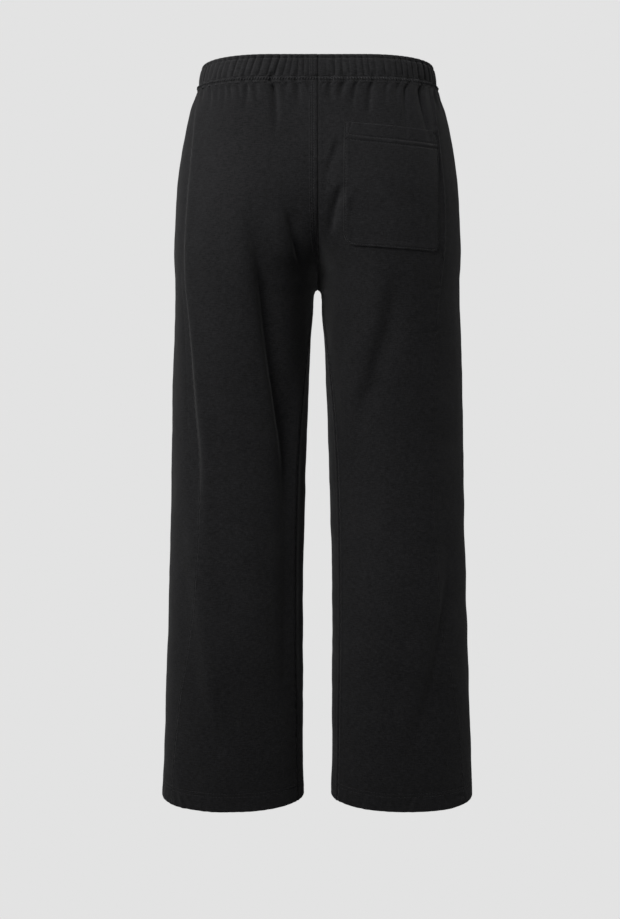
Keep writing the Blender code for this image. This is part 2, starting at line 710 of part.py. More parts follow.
def back_pocket():
    """The patch pocket, made from the right back panel's own points moved out."""
    size = POCKET
    tall = size.top_in[1] - size.foot_in[1]
    hem_share = size.hem / tall
    across = 0.5 - 0.5 * np.cos(np.linspace(0.0, math.pi, size.columns))
    across = 0.5 * across + 0.5 * np.linspace(0.0, 1.0, size.columns)
    downs = [0.0, hem_share, hem_share + HEM_STEP / tall]
    downs += list(np.linspace(hem_share, 1.0, size.rows)[1:])
    outer_rows, inner_rows = [], []
    for number, down in enumerate(downs):
        x, level = pocket_row(across, down)
        found = [on_panel("back_right", *place) for place in zip(x, level)]
        points = np.array([point for point, _ in found])
        out = np.array([direction for _, direction in found])
        thickness = size.wall + (size.hem_extra if number < 2 else 0.0)
        outer_rows.append(points + out * (size.stand_off + thickness))
        inner_rows.append(points + out * size.stand_off)
    return wall_mesh("back_pocket", outer_rows, inner_rows)


def main():
    for thing in list(bpy.data.objects):
        bpy.data.objects.remove(thing, do_unlink=True)
    collection = bpy.data.collections.new("sweatpants")
    bpy.context.scene.collection.children.link(collection)
    for panel in GATHERS:
        add_piece(collection, leg_panel(panel), cloth(panel, BLACK_FLEECE, 0.9))
    add_piece(collection, waistband(), cloth("waistband", BLACK_RIB, 0.92))
    add_piece(collection, back_pocket(), cloth("back_pocket", BLACK_FLEECE, 0.9))


main()
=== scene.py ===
"""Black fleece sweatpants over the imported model: cloth, waistband, pocket, stitches, light and camera.

Metres, +Z up. The origin is the centre of the waist opening, at the waistband's middle height. The wearer
would face +Y and have the right leg at +X, so the camera, at -Y, sees the back.
"""

import math
from typing import NamedTuple

import bmesh
import bpy
import numpy as np
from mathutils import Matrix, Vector

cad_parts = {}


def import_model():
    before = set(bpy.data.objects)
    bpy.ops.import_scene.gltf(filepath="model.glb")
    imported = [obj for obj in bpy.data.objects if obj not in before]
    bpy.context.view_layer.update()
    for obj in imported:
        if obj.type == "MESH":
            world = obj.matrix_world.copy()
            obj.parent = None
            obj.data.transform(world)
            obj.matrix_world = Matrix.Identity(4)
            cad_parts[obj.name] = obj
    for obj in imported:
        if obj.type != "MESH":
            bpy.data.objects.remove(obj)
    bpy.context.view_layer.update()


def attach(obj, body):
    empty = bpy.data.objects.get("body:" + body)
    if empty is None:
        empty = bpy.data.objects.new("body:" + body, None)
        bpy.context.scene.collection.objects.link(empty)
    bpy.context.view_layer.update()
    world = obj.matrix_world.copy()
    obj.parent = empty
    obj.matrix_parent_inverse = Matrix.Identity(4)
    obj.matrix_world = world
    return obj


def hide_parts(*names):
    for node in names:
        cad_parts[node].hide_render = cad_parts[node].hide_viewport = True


# Camera
CAMERA_PLACE = (-0.0106, -2.163, -0.3646)
CAMERA_AIM = (-0.0106, 0.0, -0.5285)
CAMERA_LENS = 60.2
CAMERA_SENSOR = 36.0

# Stage
FLOOR = -1.36
STAGE_FLAT = 4.2
STAGE_CORNER = 1.6
STAGE_TOP = 5.0
STAGE_GREY = 0.768

# Cloth and seams
WALL = 0.002
HEM_EXTRA = 0.0015
HEM_HEIGHT = 0.022
HALF_GAP = 0.00003

# The fine grids: where the fine rows end below the waistband, round the crotch and above the hem, and the
# spacing of rows and columns. The columns beside a panel's edges are fine ones.
NEAR_WAIST = -0.0265
NEAR_HEM = -0.974
NEAR_TOUCH = (-0.2860, -0.3020)
FINE_ROW = 0.0008
FINE_COLUMN = 0.0007
CENTRE_FINE = 18
SIDE_FINE = 10
PANEL_WIDTH = {"back": 0.19, "front": 0.38}
COLUMN_STEP = {"back": 0.0015, "front": 0.0028}
ROW_STEP = {"back": 0.0024, "front": 0.0032}
PANEL_SEEDS = {"back_left": 101, "back_right": 202, "front_left": 303, "front_right": 404}
HEM_ROUND = 0.0017
HEM_EDGE_ROWS = 8
DOWN = np.array([0.0, 0.0, -1.0])

# How far a panel passes its seams, so that no light falls through them
SEAM_OVERLAP = 0.00005

# Each gather's narrow core right under the waistband: its width and depth as shares of the gather's own
CORE_WIDTH = 0.55
CORE_DEPTH = 0.5
CORE_FADE = 0.030
# All the gathers' depths, as a share of the ones listed
GATHER_STRENGTH = 1.55

# The share of the gathers' depth at the waist seam, and the distances below it between which they grow to all
SEAM_HOLD = 0.45
SEAM_RELEASE = (0.0056, 0.0130)

# The cloth beside a seam: it rolls into it, with a low ridge beside that and short puckers along it
ROLL = 0.0012
ROLL_REACH = 0.0026
SEAM_RIDGE = 0.0004
RIDGE_PLACE = 0.0036
RIDGE_SIZE = 0.0024
PUCKER = 0.00022
PUCKER_PITCH = 0.011
PUCKER_FADE = 0.011
# The side seams roll in less and stand up in a fine ridge, by level and height, from below the waistband on
SIDE_ROLL = 0.0003
SIDE_ROLL_REACH = 0.0008
SIDE_RIDGE_SIZE = 0.0025
SIDE_RIDGE_START = (0.003, 0.012)
SIDE_RIDGES = {
    "left": ((-0.02, 0.0006), (-0.12, 0.0004), (-0.27, 0.0002), (-0.62, 0.0003), (-1.01, 0.0003)),
    "right": (
        (-0.02, 0.0014), (-0.12, 0.0018), (-0.22, 0.0013), (-0.36, 0.0009), (-0.50, 0.0005), (-1.01, 0.0003),
    ),
}
# Over the left side seam the cloth steps out behind and in before it, by level and height
SIDE_STEPS = (
    (-0.03, 0.0), (-0.07, 0.0034), (-0.25, 0.0034), (-0.30, 0.0046), (-0.44, 0.0052), (-0.54, 0.0046),
    (-0.60, 0.0018), (-0.67, 0.0004), (-0.74, 0.0),
)
SIDE_STEP_PLACE = 0.0018
SIDE_STEP_WIDTH = 0.0062
SIDE_STEP_REACH = 0.018

# The topstitched strip on the left of the centre seams: where it rises, its width with the fall past it, and
# how far above the crotch it ends
STRIP_START = (0.0003, 0.0016)
STRIP_WIDTH = 0.0108
STRIP_FALL = 0.0012
STRIP_END = (0.002, 0.012)
STRIP_RISE = 0.0009
STRIP_STITCHES = (0.0060, 0.0094)
STITCH_GROOVE = 0.0008
STITCH_DEPTH = 0.0009

# Swells of the cloth, height and size, and the distances from seams and waistband at which they set in
SWELL = (0.0006, 0.075)
SMALL_SWELL = (0.00016, 0.026)
SWELL_START = (0.0, 0.02)
SWELL_TOP = (0.004, 0.02)
# The small puckers right under the waistband
UNDER_BAND = 0.0007
UNDER_BAND_START = (0.002, 0.006)
UNDER_BAND_FADE = 0.012
UNDER_BAND_PITCH = 0.009

# The hem: its stitch rows above the edge, and the slight slanted twist between them and the edge
HEM_STITCHES = (0.0205, 0.0250)
HEM_GROOVE = 0.00045
HEM_PITCH = 0.014
HEM_ROPE = 0.00022
HEM_ROPE_SLANT = 0.35
HEM_ROPE_ABOVE = 0.35
HEM_ROPE_PLACE = 0.012
HEM_ROPE_FADE = 0.014
HEM_ROPE_TOP = (0.002, -0.003)

# Inside: seam allowances, and how softly they and the turned-up hem end
ALLOWANCE = 0.008
ALLOWANCE_RISE = 0.0010
ALLOWANCE_EDGE = 0.001
HEM_EDGE = 0.0008

# The waistband
BAND_THICKNESS = 0.0040
BAND_BULGE = 0.0018
BAND_COLUMN = 0.00080
RIB_REACH = (0.0070, 0.0110)
RIB_DEPTHS = (0.0005, 0.0014)
RIB_STRENGTH = 2.3
RIB_LEAN = {"left": 0.30, "right": 0.05}
RIB_LEAN_START = (0.02, 0.05)
RIB_INSIDE = 0.5
CENTRE_GROOVE = 0.0004
# The groove under the rim: how far down it lies, its depth and its width
RIM_GROOVE = (0.0046, 0.0015, 0.0010)
# The waist seam by level and height: a stitched groove, the bumpy ridge, a second groove and a lip
SEAM_PROFILE = (
    (-0.0094, 0.0000), (-0.0110, 0.0002), (-0.0123, -0.0009), (-0.0136, 0.0005), (-0.0152, 0.0013),
    (-0.0168, 0.0009), (-0.0183, 0.0004), (-0.0194, 0.0004), (-0.0203, 0.0003),
)
# How far the panels lie under that lip, and the distances below the waistband between which they come up
UNDER_LIP = 0.0004
UNDER_LIP_END = (0.0050, 0.0085)
SEAM_TOP = -0.0102
BAND_LIP = -0.0203
SEAM_STITCHES = (-0.0123, -0.0183)
SEAM_BUMPS = 0.0037
SEAM_BUMP_SLANT = 0.9
SEAM_BUMP_HEIGHT = 0.0007
SEAM_BUMP_LEVELS = (-0.0152, 0.0016)
# How far above that seam the gathers start
GATHERS_ABOVE = 0.006

# The rest of the waistband's mesh
BAND_ROUND = 0.0020
OUTER_BAND_ROWS = 25
SEAM_ROWS = 20
INNER_BAND_ROWS = 18
BAND_EDGE_ROWS = 8
RIB_SEEDS = {"left": 5, "right": 6}

# The pocket: its rolled edge, its stitching with a puff of cloth beside it, its swells and its foot
POCKET_ROLL = 0.0013
POCKET_STITCH = 0.0023
POCKET_GROOVE = 0.0007
POCKET_PUFF = 0.0003
POCKET_PUFF_PLACE = (0.0055, 0.0024)
POCKET_SWELL = (0.0004, 0.05, 71)
POCKET_SMALL_SWELL = (0.00016, 0.018, 72)
POCKET_HEM_STITCHES = (0.0180, 0.0245)
POCKET_HEM_GROOVE = 0.0012
POCKET_HEM_RIDGE = 0.0006
POCKET_HEM_RIDGE_SIZE = 0.0020
POCKET_FOOT_LIFT = 0.0014
POCKET_FOOT_REACH = 0.007
POCKET_EDGE = 0.0030
POCKET_EDGE_LINES = 5
POCKET_TACKS = (
    ((0.0448, -0.0745), (0.0392, -0.0927)),
    ((0.0364, -0.0745), (0.0362, -0.0927)),
    ((0.1530, -0.0832), (0.1510, -0.1022)),
)
PANEL_REACH = 0.19

# Threads: how far from a seam their rows start, their radius, and the slanted cover threads' radius and lie
SEAM_CLEAR = 0.0015
THREAD = 0.00030
COVER_THREAD = 0.00065
THREAD_SIDES = 6
COVER_LEVELS = (-0.0132, -0.0174)
COVER_SLANT = 0.0020
COVER_SHARES = (0.0, 0.33, 0.67, 1.0)

# Colours
THREAD_DARK = (0.026, 0.026, 0.0275)
THREAD_LIGHT = (0.060, 0.060, 0.063)
RIB_DARK = (0.013, 0.013, 0.0138)
RIB_LIGHT = (0.045, 0.0445, 0.047)
FLEECE_DARK = (0.0075, 0.0075, 0.0082)
FLEECE_LIGHT = (0.034, 0.0335, 0.0362)

# Lights: place, size and power
LAMP_AIM = (0.0, 0.0, -0.5)
LAMPS = {
    "key": ((-0.95, -1.45, 0.55), (0.8, 1.1), 13.9),
    "rake": ((-1.68, -0.45, 0.60), (0.8, 1.1), 7.0),
    "fill": ((0.50, -2.30, -0.60), (1.4, 1.4), 4.0),
    "right": ((2.3, -0.25, -0.20), (0.9, 1.8), 4.2),
    "right_back": ((2.0, 1.0, -0.20), (0.9, 1.8), 3.0),
    "top": ((-0.2, -0.50, 1.60), (0.9, 0.9), 2.0),
    "far_side": ((0.0, 3.2, 0.5), (0.3, 1.4), 60.0),
}
WORLD_LIGHT = 0.015

# Levels, measured down the side of the garment
BAND_TOP = 0.0135
BAND_BOTTOM = -0.0145
CROTCH = -0.272
HEM = -1.003

# The outline's roundness beside the hips and legs: 2 is an ellipse
SIDE_ROUNDNESS = 2.2

# The share of a leg's columns between its inseam and its furthest point to the back or front, and the depths
# between which the columns of the hips turn to it
BACK_SHARE = 0.46
FRONT_SHARE = 0.34
SHARE_CHANGE = (0.12, 0.23)

# How folds fade: near a panel's own centre edge, at their ends, and as the cloth turns away from their view
FOLD_FADE = (0.001, 0.026)
FOLD_END_SHARE = 0.28
FOLD_FACING = (0.05, 0.45)
# The ridge beside a fold, in widths of its trough
RIDGE_AWAY = 1.7
RIDGE_WIDTH = 1.3
# A trough's width towards its ridge and away from it, as shares of the fold's own
STEEP_SIDE = 0.70
GENTLE_SIDE = 1.45

# Gathers: the half-width of a groove, how soon it starts to fade down its length, and its fade beside a seam
GATHER_WIDTH = 0.0048
GATHER_FADE_START = 0.15
SEAM_FADE = 0.012
FRONT_GATHERS = 18


class Section(NamedTuple):
    """One level of the right half. The side, back and front are its furthest points that way.

    The inner point is the leg's own. Above the crotch, where it would be past the centre, the halves meet.
    """

    level: float
    side: float
    side_y: float
    back_x: float
    back: float
    front_x: float
    front: float
    inner: float
    inner_y: float
    left_seam: float
    right_seam: float
    inseam: float


SECTIONS = [Section(*row) for row in (
    # level  side    side_y  back_x  back     front_x front   inner    inner_y left    right   inseam
    (+0.014, 0.1592, +0.000, 0.0600, -0.0890, 0.0600, +0.086, -0.5000, +0.000, 0.1580, 0.1540, 0.0000),
    (-0.014, 0.1645, +0.000, 0.0620, -0.0920, 0.0620, +0.089, -0.5000, +0.000, 0.1630, 0.1560, 0.0000),
    (-0.030, 0.1706, -0.001, 0.0640, -0.0980, 0.0640, +0.094, -0.4800, +0.000, 0.1646, 0.1546, 0.0000),
    (-0.050, 0.1773, -0.003, 0.0660, -0.1050, 0.0660, +0.099, -0.4400, +0.000, 0.1663, 0.1562, 0.0000),
    (-0.090, 0.1852, -0.007, 0.0700, -0.1180, 0.0680, +0.105, -0.3400, +0.000, 0.1690, 0.1602, 0.0000),
    (-0.130, 0.1914, -0.011, 0.0740, -0.1290, 0.0700, +0.109, -0.2400, +0.000, 0.1719, 0.1640, 0.0000),
    (-0.170, 0.1950, -0.013, 0.0780, -0.1360, 0.0740, +0.111, -0.1500, +0.000, 0.1752, 0.1672, 0.0000),
    (-0.210, 0.1970, -0.013, 0.0840, -0.1380, 0.0800, +0.111, -0.0700, +0.000, 0.1782, 0.1683, 0.0000),
    (-0.240, 0.1982, -0.012, 0.0900, -0.1370, 0.0860, +0.111, -0.0250, +0.000, 0.1796, 0.1672, 0.0000),
    (-0.256, 0.1979, -0.011, 0.0930, -0.1353, 0.0890, +0.111, -0.0085, +0.000, 0.1798, 0.1657, 0.0000),
    (-0.265, 0.1975, -0.011, 0.0946, -0.1339, 0.0906, +0.111, -0.0020, +0.000, 0.1798, 0.1646, 0.0000),
    (-0.272, 0.1972, -0.010, 0.0960, -0.1326, 0.0920, +0.111, HALF_GAP, +0.000, 0.1797, 0.1637, 0.0000),
    (-0.280, 0.1970, -0.010, 0.0970, -0.1310, 0.0936, +0.111, +0.0008, +0.000, 0.1795, 0.1628, 0.0009),
    (-0.290, 0.1971, -0.009, 0.0980, -0.1289, 0.0950, +0.111, +0.0021, -0.001, 0.1790, 0.1616, 0.0023),
    (-0.300, 0.1973, -0.008, 0.0990, -0.1269, 0.0960, +0.111, +0.0048, -0.002, 0.1782, 0.1604, 0.0052),
    (-0.320, 0.1980, -0.008, 0.1010, -0.1228, 0.0990, +0.110, +0.0062, -0.003, 0.1762, 0.1588, 0.0075),
    (-0.360, 0.1999, -0.007, 0.1040, -0.1150, 0.1020, +0.108, +0.0090, -0.005, 0.1725, 0.1574, 0.0122),
    (-0.445, 0.2027, -0.006, 0.1075, -0.1030, 0.1060, +0.099, +0.0130, -0.006, 0.1668, 0.1562, 0.0215),
    (-0.530, 0.2047, -0.008, 0.1100, -0.0970, 0.1090, +0.086, +0.0159, -0.008, 0.1600, 0.1560, 0.0274),
    (-0.615, 0.2062, -0.010, 0.1120, -0.0970, 0.1110, +0.075, +0.0184, -0.010, 0.1590, 0.1590, 0.0300),
    (-0.700, 0.2089, -0.013, 0.1140, -0.0990, 0.1130, +0.066, +0.0205, -0.013, 0.1645, 0.1645, 0.0312),
    (-0.785, 0.2116, -0.016, 0.1160, -0.0980, 0.1150, +0.057, +0.0205, -0.016, 0.1775, 0.1775, 0.0312),
    (-0.870, 0.2148, -0.018, 0.1170, -0.0920, 0.1170, +0.051, +0.0203, -0.018, 0.1920, 0.1920, 0.0300),
    (-0.955, 0.2175, -0.019, 0.1190, -0.0860, 0.1190, +0.047, +0.0208, -0.019, 0.2012, 0.2012, 0.0290),
    (-0.991, 0.2196, -0.019, 0.1200, -0.0830, 0.1200, +0.045, +0.0197, -0.019, 0.2044, 0.2044, 0.0280),
    (-1.012, 0.2206, -0.019, 0.1200, -0.0820, 0.1200, +0.044, +0.0190, -0.019, 0.2056, 0.2056, 0.0275),
)]


# Where the thighs touch and part, as the leg's innermost x by level, and how far round the leg that reaches
TOUCH = (
    (-0.2720, 0.0), (-0.2902, 0.0), (-0.2928, 0.0036), (-0.2957, 0.0045), (-0.2985, 0.0051),
    (-0.3040, 0.0057), (-0.3200, 0.0062),
)
TOUCH_REACH = 0.012


# How far the garment's back and front rise above its side, by level
BACK_LIFTS = (
    (0.014, 0.0050), (-0.014, 0.0010), (-0.130, 0.0), (-0.260, 0.0), (-0.850, 0.0), (-1.003, -0.0090),
)
FRONT_LIFTS = (
    (0.014, -0.0040), (-0.014, -0.0080), (-0.130, -0.0040), (-0.260, 0.0), (-0.850, 0.0), (-1.003, 0.0080),
)


class Fold(NamedTuple):
    """A soft trough seen from the back or front, with a ridge beside it. A negative depth makes it a swell.

    Points are x and level. The ridge lies at the +X side of a trough that runs down, or at its -X side where
    its height is given as negative.
    """

    face: str
    depth: float
    ridge: float
    width: float
    points: tuple


FOLDS = (
    Fold("back", 0.0092, -0.0030, 0.0150, (
        (-0.095, -0.176), (-0.078, -0.249), (-0.066, -0.335), (-0.056, -0.408), (-0.050, -0.450),
        (-0.043, -0.500), (-0.039, -0.560), (-0.038, -0.620))),
    Fold("back", 0.0050, -0.0020, 0.0240, (
        (-0.048, -0.480), (-0.038, -0.600), (-0.036, -0.740), (-0.046, -0.900))),
    Fold("back", 0.0050, -0.0020, 0.0090, ((-0.040, -0.190), (-0.028, -0.230), (-0.020, -0.262))),
    Fold("back", 0.0040, +0.0020, 0.0075, ((0.030, -0.156), (0.018, -0.192), (0.013, -0.226))),
    Fold("back", 0.0055, -0.0025, 0.0135, (
        (0.106, -0.252), (0.100, -0.295), (0.092, -0.345), (0.081, -0.381), (0.073, -0.415), (0.062, -0.445),
        (0.050, -0.490))),
    Fold("back", 0.0056, -0.0018, 0.0130, (
        (0.180, -0.620), (0.179, -0.683), (0.172, -0.740), (0.165, -0.784), (0.157, -0.825), (0.149, -0.865),
        (0.138, -0.900), (0.122, -0.935))),
    Fold("front", 0.0060, +0.0035, 0.0140, (
        (0.035, -0.230), (0.060, -0.290), (0.075, -0.370), (0.080, -0.450), (0.078, -0.540))),
    Fold("front", 0.0050, +0.0030, 0.0130, (
        (-0.020, -0.215), (-0.048, -0.262), (-0.078, -0.320), (-0.098, -0.385))),
    Fold("front", 0.0060, -0.0035, 0.0150, (
        (-0.150, -0.560), (-0.135, -0.620), (-0.120, -0.700), (-0.112, -0.790), (-0.110, -0.880))),
    Fold("front", 0.0050, +0.0030, 0.0130, (
        (0.060, -0.680), (0.085, -0.745), (0.120, -0.800), (0.150, -0.840))),
)


# Over these: the folds' sharper parts, the broad swell down the left leg, and the small folds beside the seat
FINE_FOLDS = (
    Fold("back", 0.0054, -0.0003, 0.0100, (
        (-0.094, -0.200), (-0.080, -0.249), (-0.072, -0.290), (-0.067, -0.335), (-0.060, -0.390),
        (-0.053, -0.440), (-0.046, -0.490), (-0.041, -0.550))),
    Fold("back", -0.0066, -0.0002, 0.0210, (
        (-0.166, -0.530), (-0.164, -0.634), (-0.160, -0.690), (-0.153, -0.746), (-0.148, -0.800),
        (-0.140, -0.857), (-0.131, -0.920))),
    Fold("back", 0.0022, -0.0010, 0.0090, (
        (-0.044, -0.170), (-0.036, -0.205), (-0.028, -0.236), (-0.016, -0.273))),
    Fold("back", 0.0026, -0.0010, 0.0055, (
        (0.029, -0.092), (0.022, -0.111), (0.015, -0.128), (0.007, -0.150))),
    Fold("back", 0.0030, -0.0012, 0.0055, (
        (0.035, -0.150), (0.027, -0.170), (0.017, -0.198), (0.010, -0.235))),
)


class Gather(NamedTuple):
    """A groove under the waistband: its place as a share of the panel's top edge, from the centre seam."""

    place: float
    depth: float
    length: float
    lean: float


BACK_LEFT_GATHERS = [Gather(*row) for row in (
    # place  depth   length  lean
    (0.060, 0.0010, 0.028, +0.00),
    (0.144, 0.0024, 0.050, -0.02),
    (0.225, 0.0014, 0.034, +0.00),
    (0.311, 0.0048, 0.085, -0.03),
    (0.435, 0.0020, 0.040, +0.00),
    (0.493, 0.0026, 0.055, +0.13),
    (0.567, 0.0018, 0.036, -0.08),
    (0.629, 0.0022, 0.042, +0.00),
    (0.679, 0.0022, 0.050, +0.03),
    (0.735, 0.0020, 0.036, +0.00),
    (0.810, 0.0016, 0.050, +0.04),
    (0.900, 0.0012, 0.032, +0.00),
)]
BACK_RIGHT_GATHERS = [Gather(*row) for row in (
    # place  depth   length  lean
    (0.094, 0.0020, 0.042, +0.00),
    (0.204, 0.0030, 0.034, -0.20),
    (0.299, 0.0020, 0.055, -0.14),
    (0.360, 0.0010, 0.028, +0.00),
    (0.423, 0.0030, 0.060, -0.10),
    (0.480, 0.0010, 0.028, +0.00),
    (0.535, 0.0018, 0.042, +0.00),
    (0.633, 0.0020, 0.040, +0.00),
    (0.713, 0.0024, 0.110, -0.06),
    (0.836, 0.0024, 0.110, +0.13),
    (0.885, 0.0014, 0.030, +0.00),
    (0.955, 0.0016, 0.070, +0.15),
)]


def even_gathers(count, seed):
    """Grooves about evenly spaced, of uneven depth and length, for a front panel."""
    chance = np.random.default_rng(seed)
    return tuple(
        Gather(
            place=(k + chance.uniform(0.3, 0.7)) / count,
            depth=chance.triangular(0.0010, 0.0012, 0.0034),
            length=chance.uniform(0.028, 0.070),
            lean=chance.uniform(-0.08, 0.08),
        )
        for k in range(count)
    )


GATHERS = {
    "back_left": BACK_LEFT_GATHERS,
    "back_right": BACK_RIGHT_GATHERS,
    "front_left": even_gathers(FRONT_GATHERS, 3),
    "front_right": even_gathers(FRONT_GATHERS, 8),
}


# The waistband's grooves as seen from the back: the distance from the centre seam in x, and the depth
BACK_GROOVES = {
    "left": (
        (0.012, 0.0004), (0.019, 0.0010), (0.027, 0.0010), (0.036, 0.0009), (0.044, 0.0010), (0.055, 0.0018),
        (0.065, 0.0013), (0.077, 0.0012), (0.088, 0.0012), (0.097, 0.0010), (0.104, 0.0006), (0.112, 0.0012),
        (0.121, 0.0008), (0.129, 0.0009), (0.135, 0.0007), (0.142, 0.0008), (0.148, 0.0009),
    ),
    "right": (
        (0.011, 0.0004), (0.023, 0.0013), (0.033, 0.0010), (0.042, 0.0006), (0.052, 0.0006), (0.061, 0.0010),
        (0.069, 0.0008), (0.077, 0.0006), (0.090, 0.0014), (0.099, 0.0008), (0.106, 0.0013), (0.114, 0.0015),
        (0.121, 0.0010), (0.128, 0.0012), (0.136, 0.0015), (0.145, 0.0019), (0.151, 0.0012),
    ),
}


class Curve:
    """A smooth curve through pairs of place and value, with no overshoot between them."""

    def __init__(self, pairs):
        self.places, self.values = np.array(sorted(pairs), float).T
        steps = np.diff(self.places)
        rates = np.diff(self.values) / steps
        slopes = np.empty_like(self.values)
        slopes[0], slopes[-1] = rates[0], rates[-1]
        before, after = rates[:-1], rates[1:]
        weight_a, weight_b = 2 * steps[1:] + steps[:-1], steps[1:] + 2 * steps[:-1]
        same_way = before * after > 0
        safe_before = np.where(same_way, before, 1.0)
        safe_after = np.where(same_way, after, 1.0)
        middle = (weight_a + weight_b) / (weight_a / safe_before + weight_b / safe_after)
        slopes[1:-1] = np.where(same_way, middle, 0.0)
        self.slopes = slopes

    def __call__(self, place):
        index = np.clip(np.searchsorted(self.places, place) - 1, 0, len(self.places) - 2)
        step = self.places[index + 1] - self.places[index]
        share = np.clip((place - self.places[index]) / step, 0.0, 1.0)
        rise = share * share * (3 - 2 * share)
        start = self.values[index] + (self.values[index + 1] - self.values[index]) * rise
        lead = share * (1 - share) ** 2 * self.slopes[index]
        trail = share * share * (1 - share) * self.slopes[index + 1]
        return start + step * (lead - trail)


SECTION_CURVES = {
    name: Curve((row.level, getattr(row, name)) for row in SECTIONS) for name in Section._fields[1:]
}
BACK_LIFT, FRONT_LIFT, TOUCH_CURVE = Curve(BACK_LIFTS), Curve(FRONT_LIFTS), Curve(TOUCH)
LOOPS = {}


def ease(value, start, end):
    """0 before start, 1 past end, smooth between."""
    share = np.clip((value - start) / (end - start), 0.0, 1.0)
    return share * share * (3 - 2 * share)


def rounded(value, roundness):
    """A sine or cosine bent so that an arc drawn with both is squarer than an ellipse."""
    return np.clip(value, 0.0, 1.0) ** (2 / roundness)


class Loop:
    """The right half's outline at one level, from the centre back or inseam round the side to the front."""

    COUNT = 257

    def __init__(self, level):
        size = {name: float(curve(level)) for name, curve in SECTION_CURVES.items()}
        back = (size["back_x"], size["back"])
        side = (size["side"], size["side_y"])
        front = (size["front_x"], size["front"])
        inner = (size["inner"], size["inner_y"])
        angles = np.linspace(0.0, math.pi / 2, self.COUNT)
        out, along = rounded(np.sin(angles), SIDE_ROUNDNESS), rounded(np.cos(angles), SIDE_ROUNDNESS)
        arcs = (
            from_seam(back, inner, max(size["inseam"], HALF_GAP), self.COUNT),
            (back[0] + (side[0] - back[0]) * out, side[1] + (back[1] - side[1]) * along),
            (front[0] + (side[0] - front[0]) * along, side[1] + (front[1] - side[1]) * out),
            to_seam(back, front, inner, max(size["inseam"], HALF_GAP), self.COUNT),
        )
        self.x = np.concatenate([arc[0][:-1] for arc in arcs] + [arcs[-1][0][-1:]])
        self.y = np.concatenate([arc[1][:-1] for arc in arcs] + [arcs[-1][1][-1:]])
        if TOUCH[-1][0] < level < TOUCH[0][0]:
            near = 1.0 - np.clip((self.x - inner[0]) / TOUCH_REACH, 0.0, 1.0)
            self.x = self.x - (inner[0] - float(TOUCH_CURVE(level))) * near**2
        steps = np.hypot(np.diff(self.x), np.diff(self.y))
        self.distance = np.concatenate([[0.0], np.cumsum(steps)])
        self.length = self.distance[-1]
        self.back_most = self.distance[self.COUNT - 1]
        self.front_most = self.distance[3 * (self.COUNT - 1)]
        stretch = slice(self.COUNT - 1, 2 * self.COUNT - 1)
        self.side_seam = {
            half: float(np.interp(size[f"{half}_seam"], self.x[stretch], self.distance[stretch]))
            for half in ("left", "right")
        }
        run_x, run_y = np.gradient(self.x, self.distance), np.gradient(self.y, self.distance)
        self.out_x, self.out_y = run_y, -run_x
        self.middle_y = side[1]
        self.back_y, self.front_y = back[1], front[1]

    def at(self, distance):
        """Place and outward direction, level with the ground, at distances along the loop."""
        lines = (self.x, self.y, self.out_x, self.out_y)
        x, y, out_x, out_y = (np.interp(distance, self.distance, line) for line in lines)
        size = np.maximum(np.hypot(out_x, out_y), 1e-9)
        return x, y, out_x / size, out_y / size


def turn_at(extreme, inner, x):
    """The turn from a leg's inner point towards its back or front at which it reaches x."""
    return math.acos(min((extreme[0] - x) / (extreme[0] - inner[0]), 1.0))


def inner_arc(extreme, inner, turn):
    """Points of a leg's inner quarter, from its inner point round to its back or front."""
    x = extreme[0] - (extreme[0] - inner[0]) * np.cos(turn)
    return x, inner[1] + (extreme[1] - inner[1]) * np.sin(turn)


def from_seam(back, inner, seam_x, count):
    """Points from the centre seam, or from a leg's inseam, out to its furthest point back."""
    return inner_arc(back, inner, np.linspace(turn_at(back, inner, seam_x), math.pi / 2, count))


def to_seam(back, front, inner, seam_x, count):
    """Points in from the front: to the centre seam or, on a leg, past its inner point to its inseam."""
    if inner[0] < HALF_GAP:
        return inner_arc(front, inner, np.linspace(math.pi / 2, turn_at(front, inner, seam_x), count))
    x, y = inner_arc(front, inner, np.linspace(math.pi / 2, 0.0, count))
    seam_turn = turn_at(back, inner, seam_x)
    if seam_turn == 0.0:
        return x, y
    more_x, more_y = inner_arc(back, inner, np.linspace(0.0, seam_turn, count)[1:])
    return np.concatenate([x, more_x]), np.concatenate([y, more_y])


def loop_at(level):
    """The outline at a level, worked out once."""
    key = round(level, 6)
    if key not in LOOPS:
        LOOPS[key] = Loop(key)
    return LOOPS[key]


def trough(across, fold):
    """A fold's cross-section: the trough, steeper towards its ridge, and the ridge."""
    width = fold.width * np.where(across * fold.ridge > 0, STEEP_SIDE, GENTLE_SIDE)
    low = -fold.depth * np.exp(-((across / width) ** 2))
    beside = across - math.copysign(RIDGE_AWAY * fold.width, fold.ridge)
    return low + abs(fold.ridge) * np.exp(-((beside / (RIDGE_WIDTH * fold.width)) ** 2))


def smooth_path(points, count=60):
    """A rounded path through a fold's few points."""
    points = np.asarray(points, float)
    steps = np.concatenate([[0.0], np.cumsum(np.hypot(*np.diff(points, axis=0).T))])
    along = np.linspace(0.0, steps[-1], count)
    return np.column_stack([Curve(zip(steps, line))(along) for line in points.T])


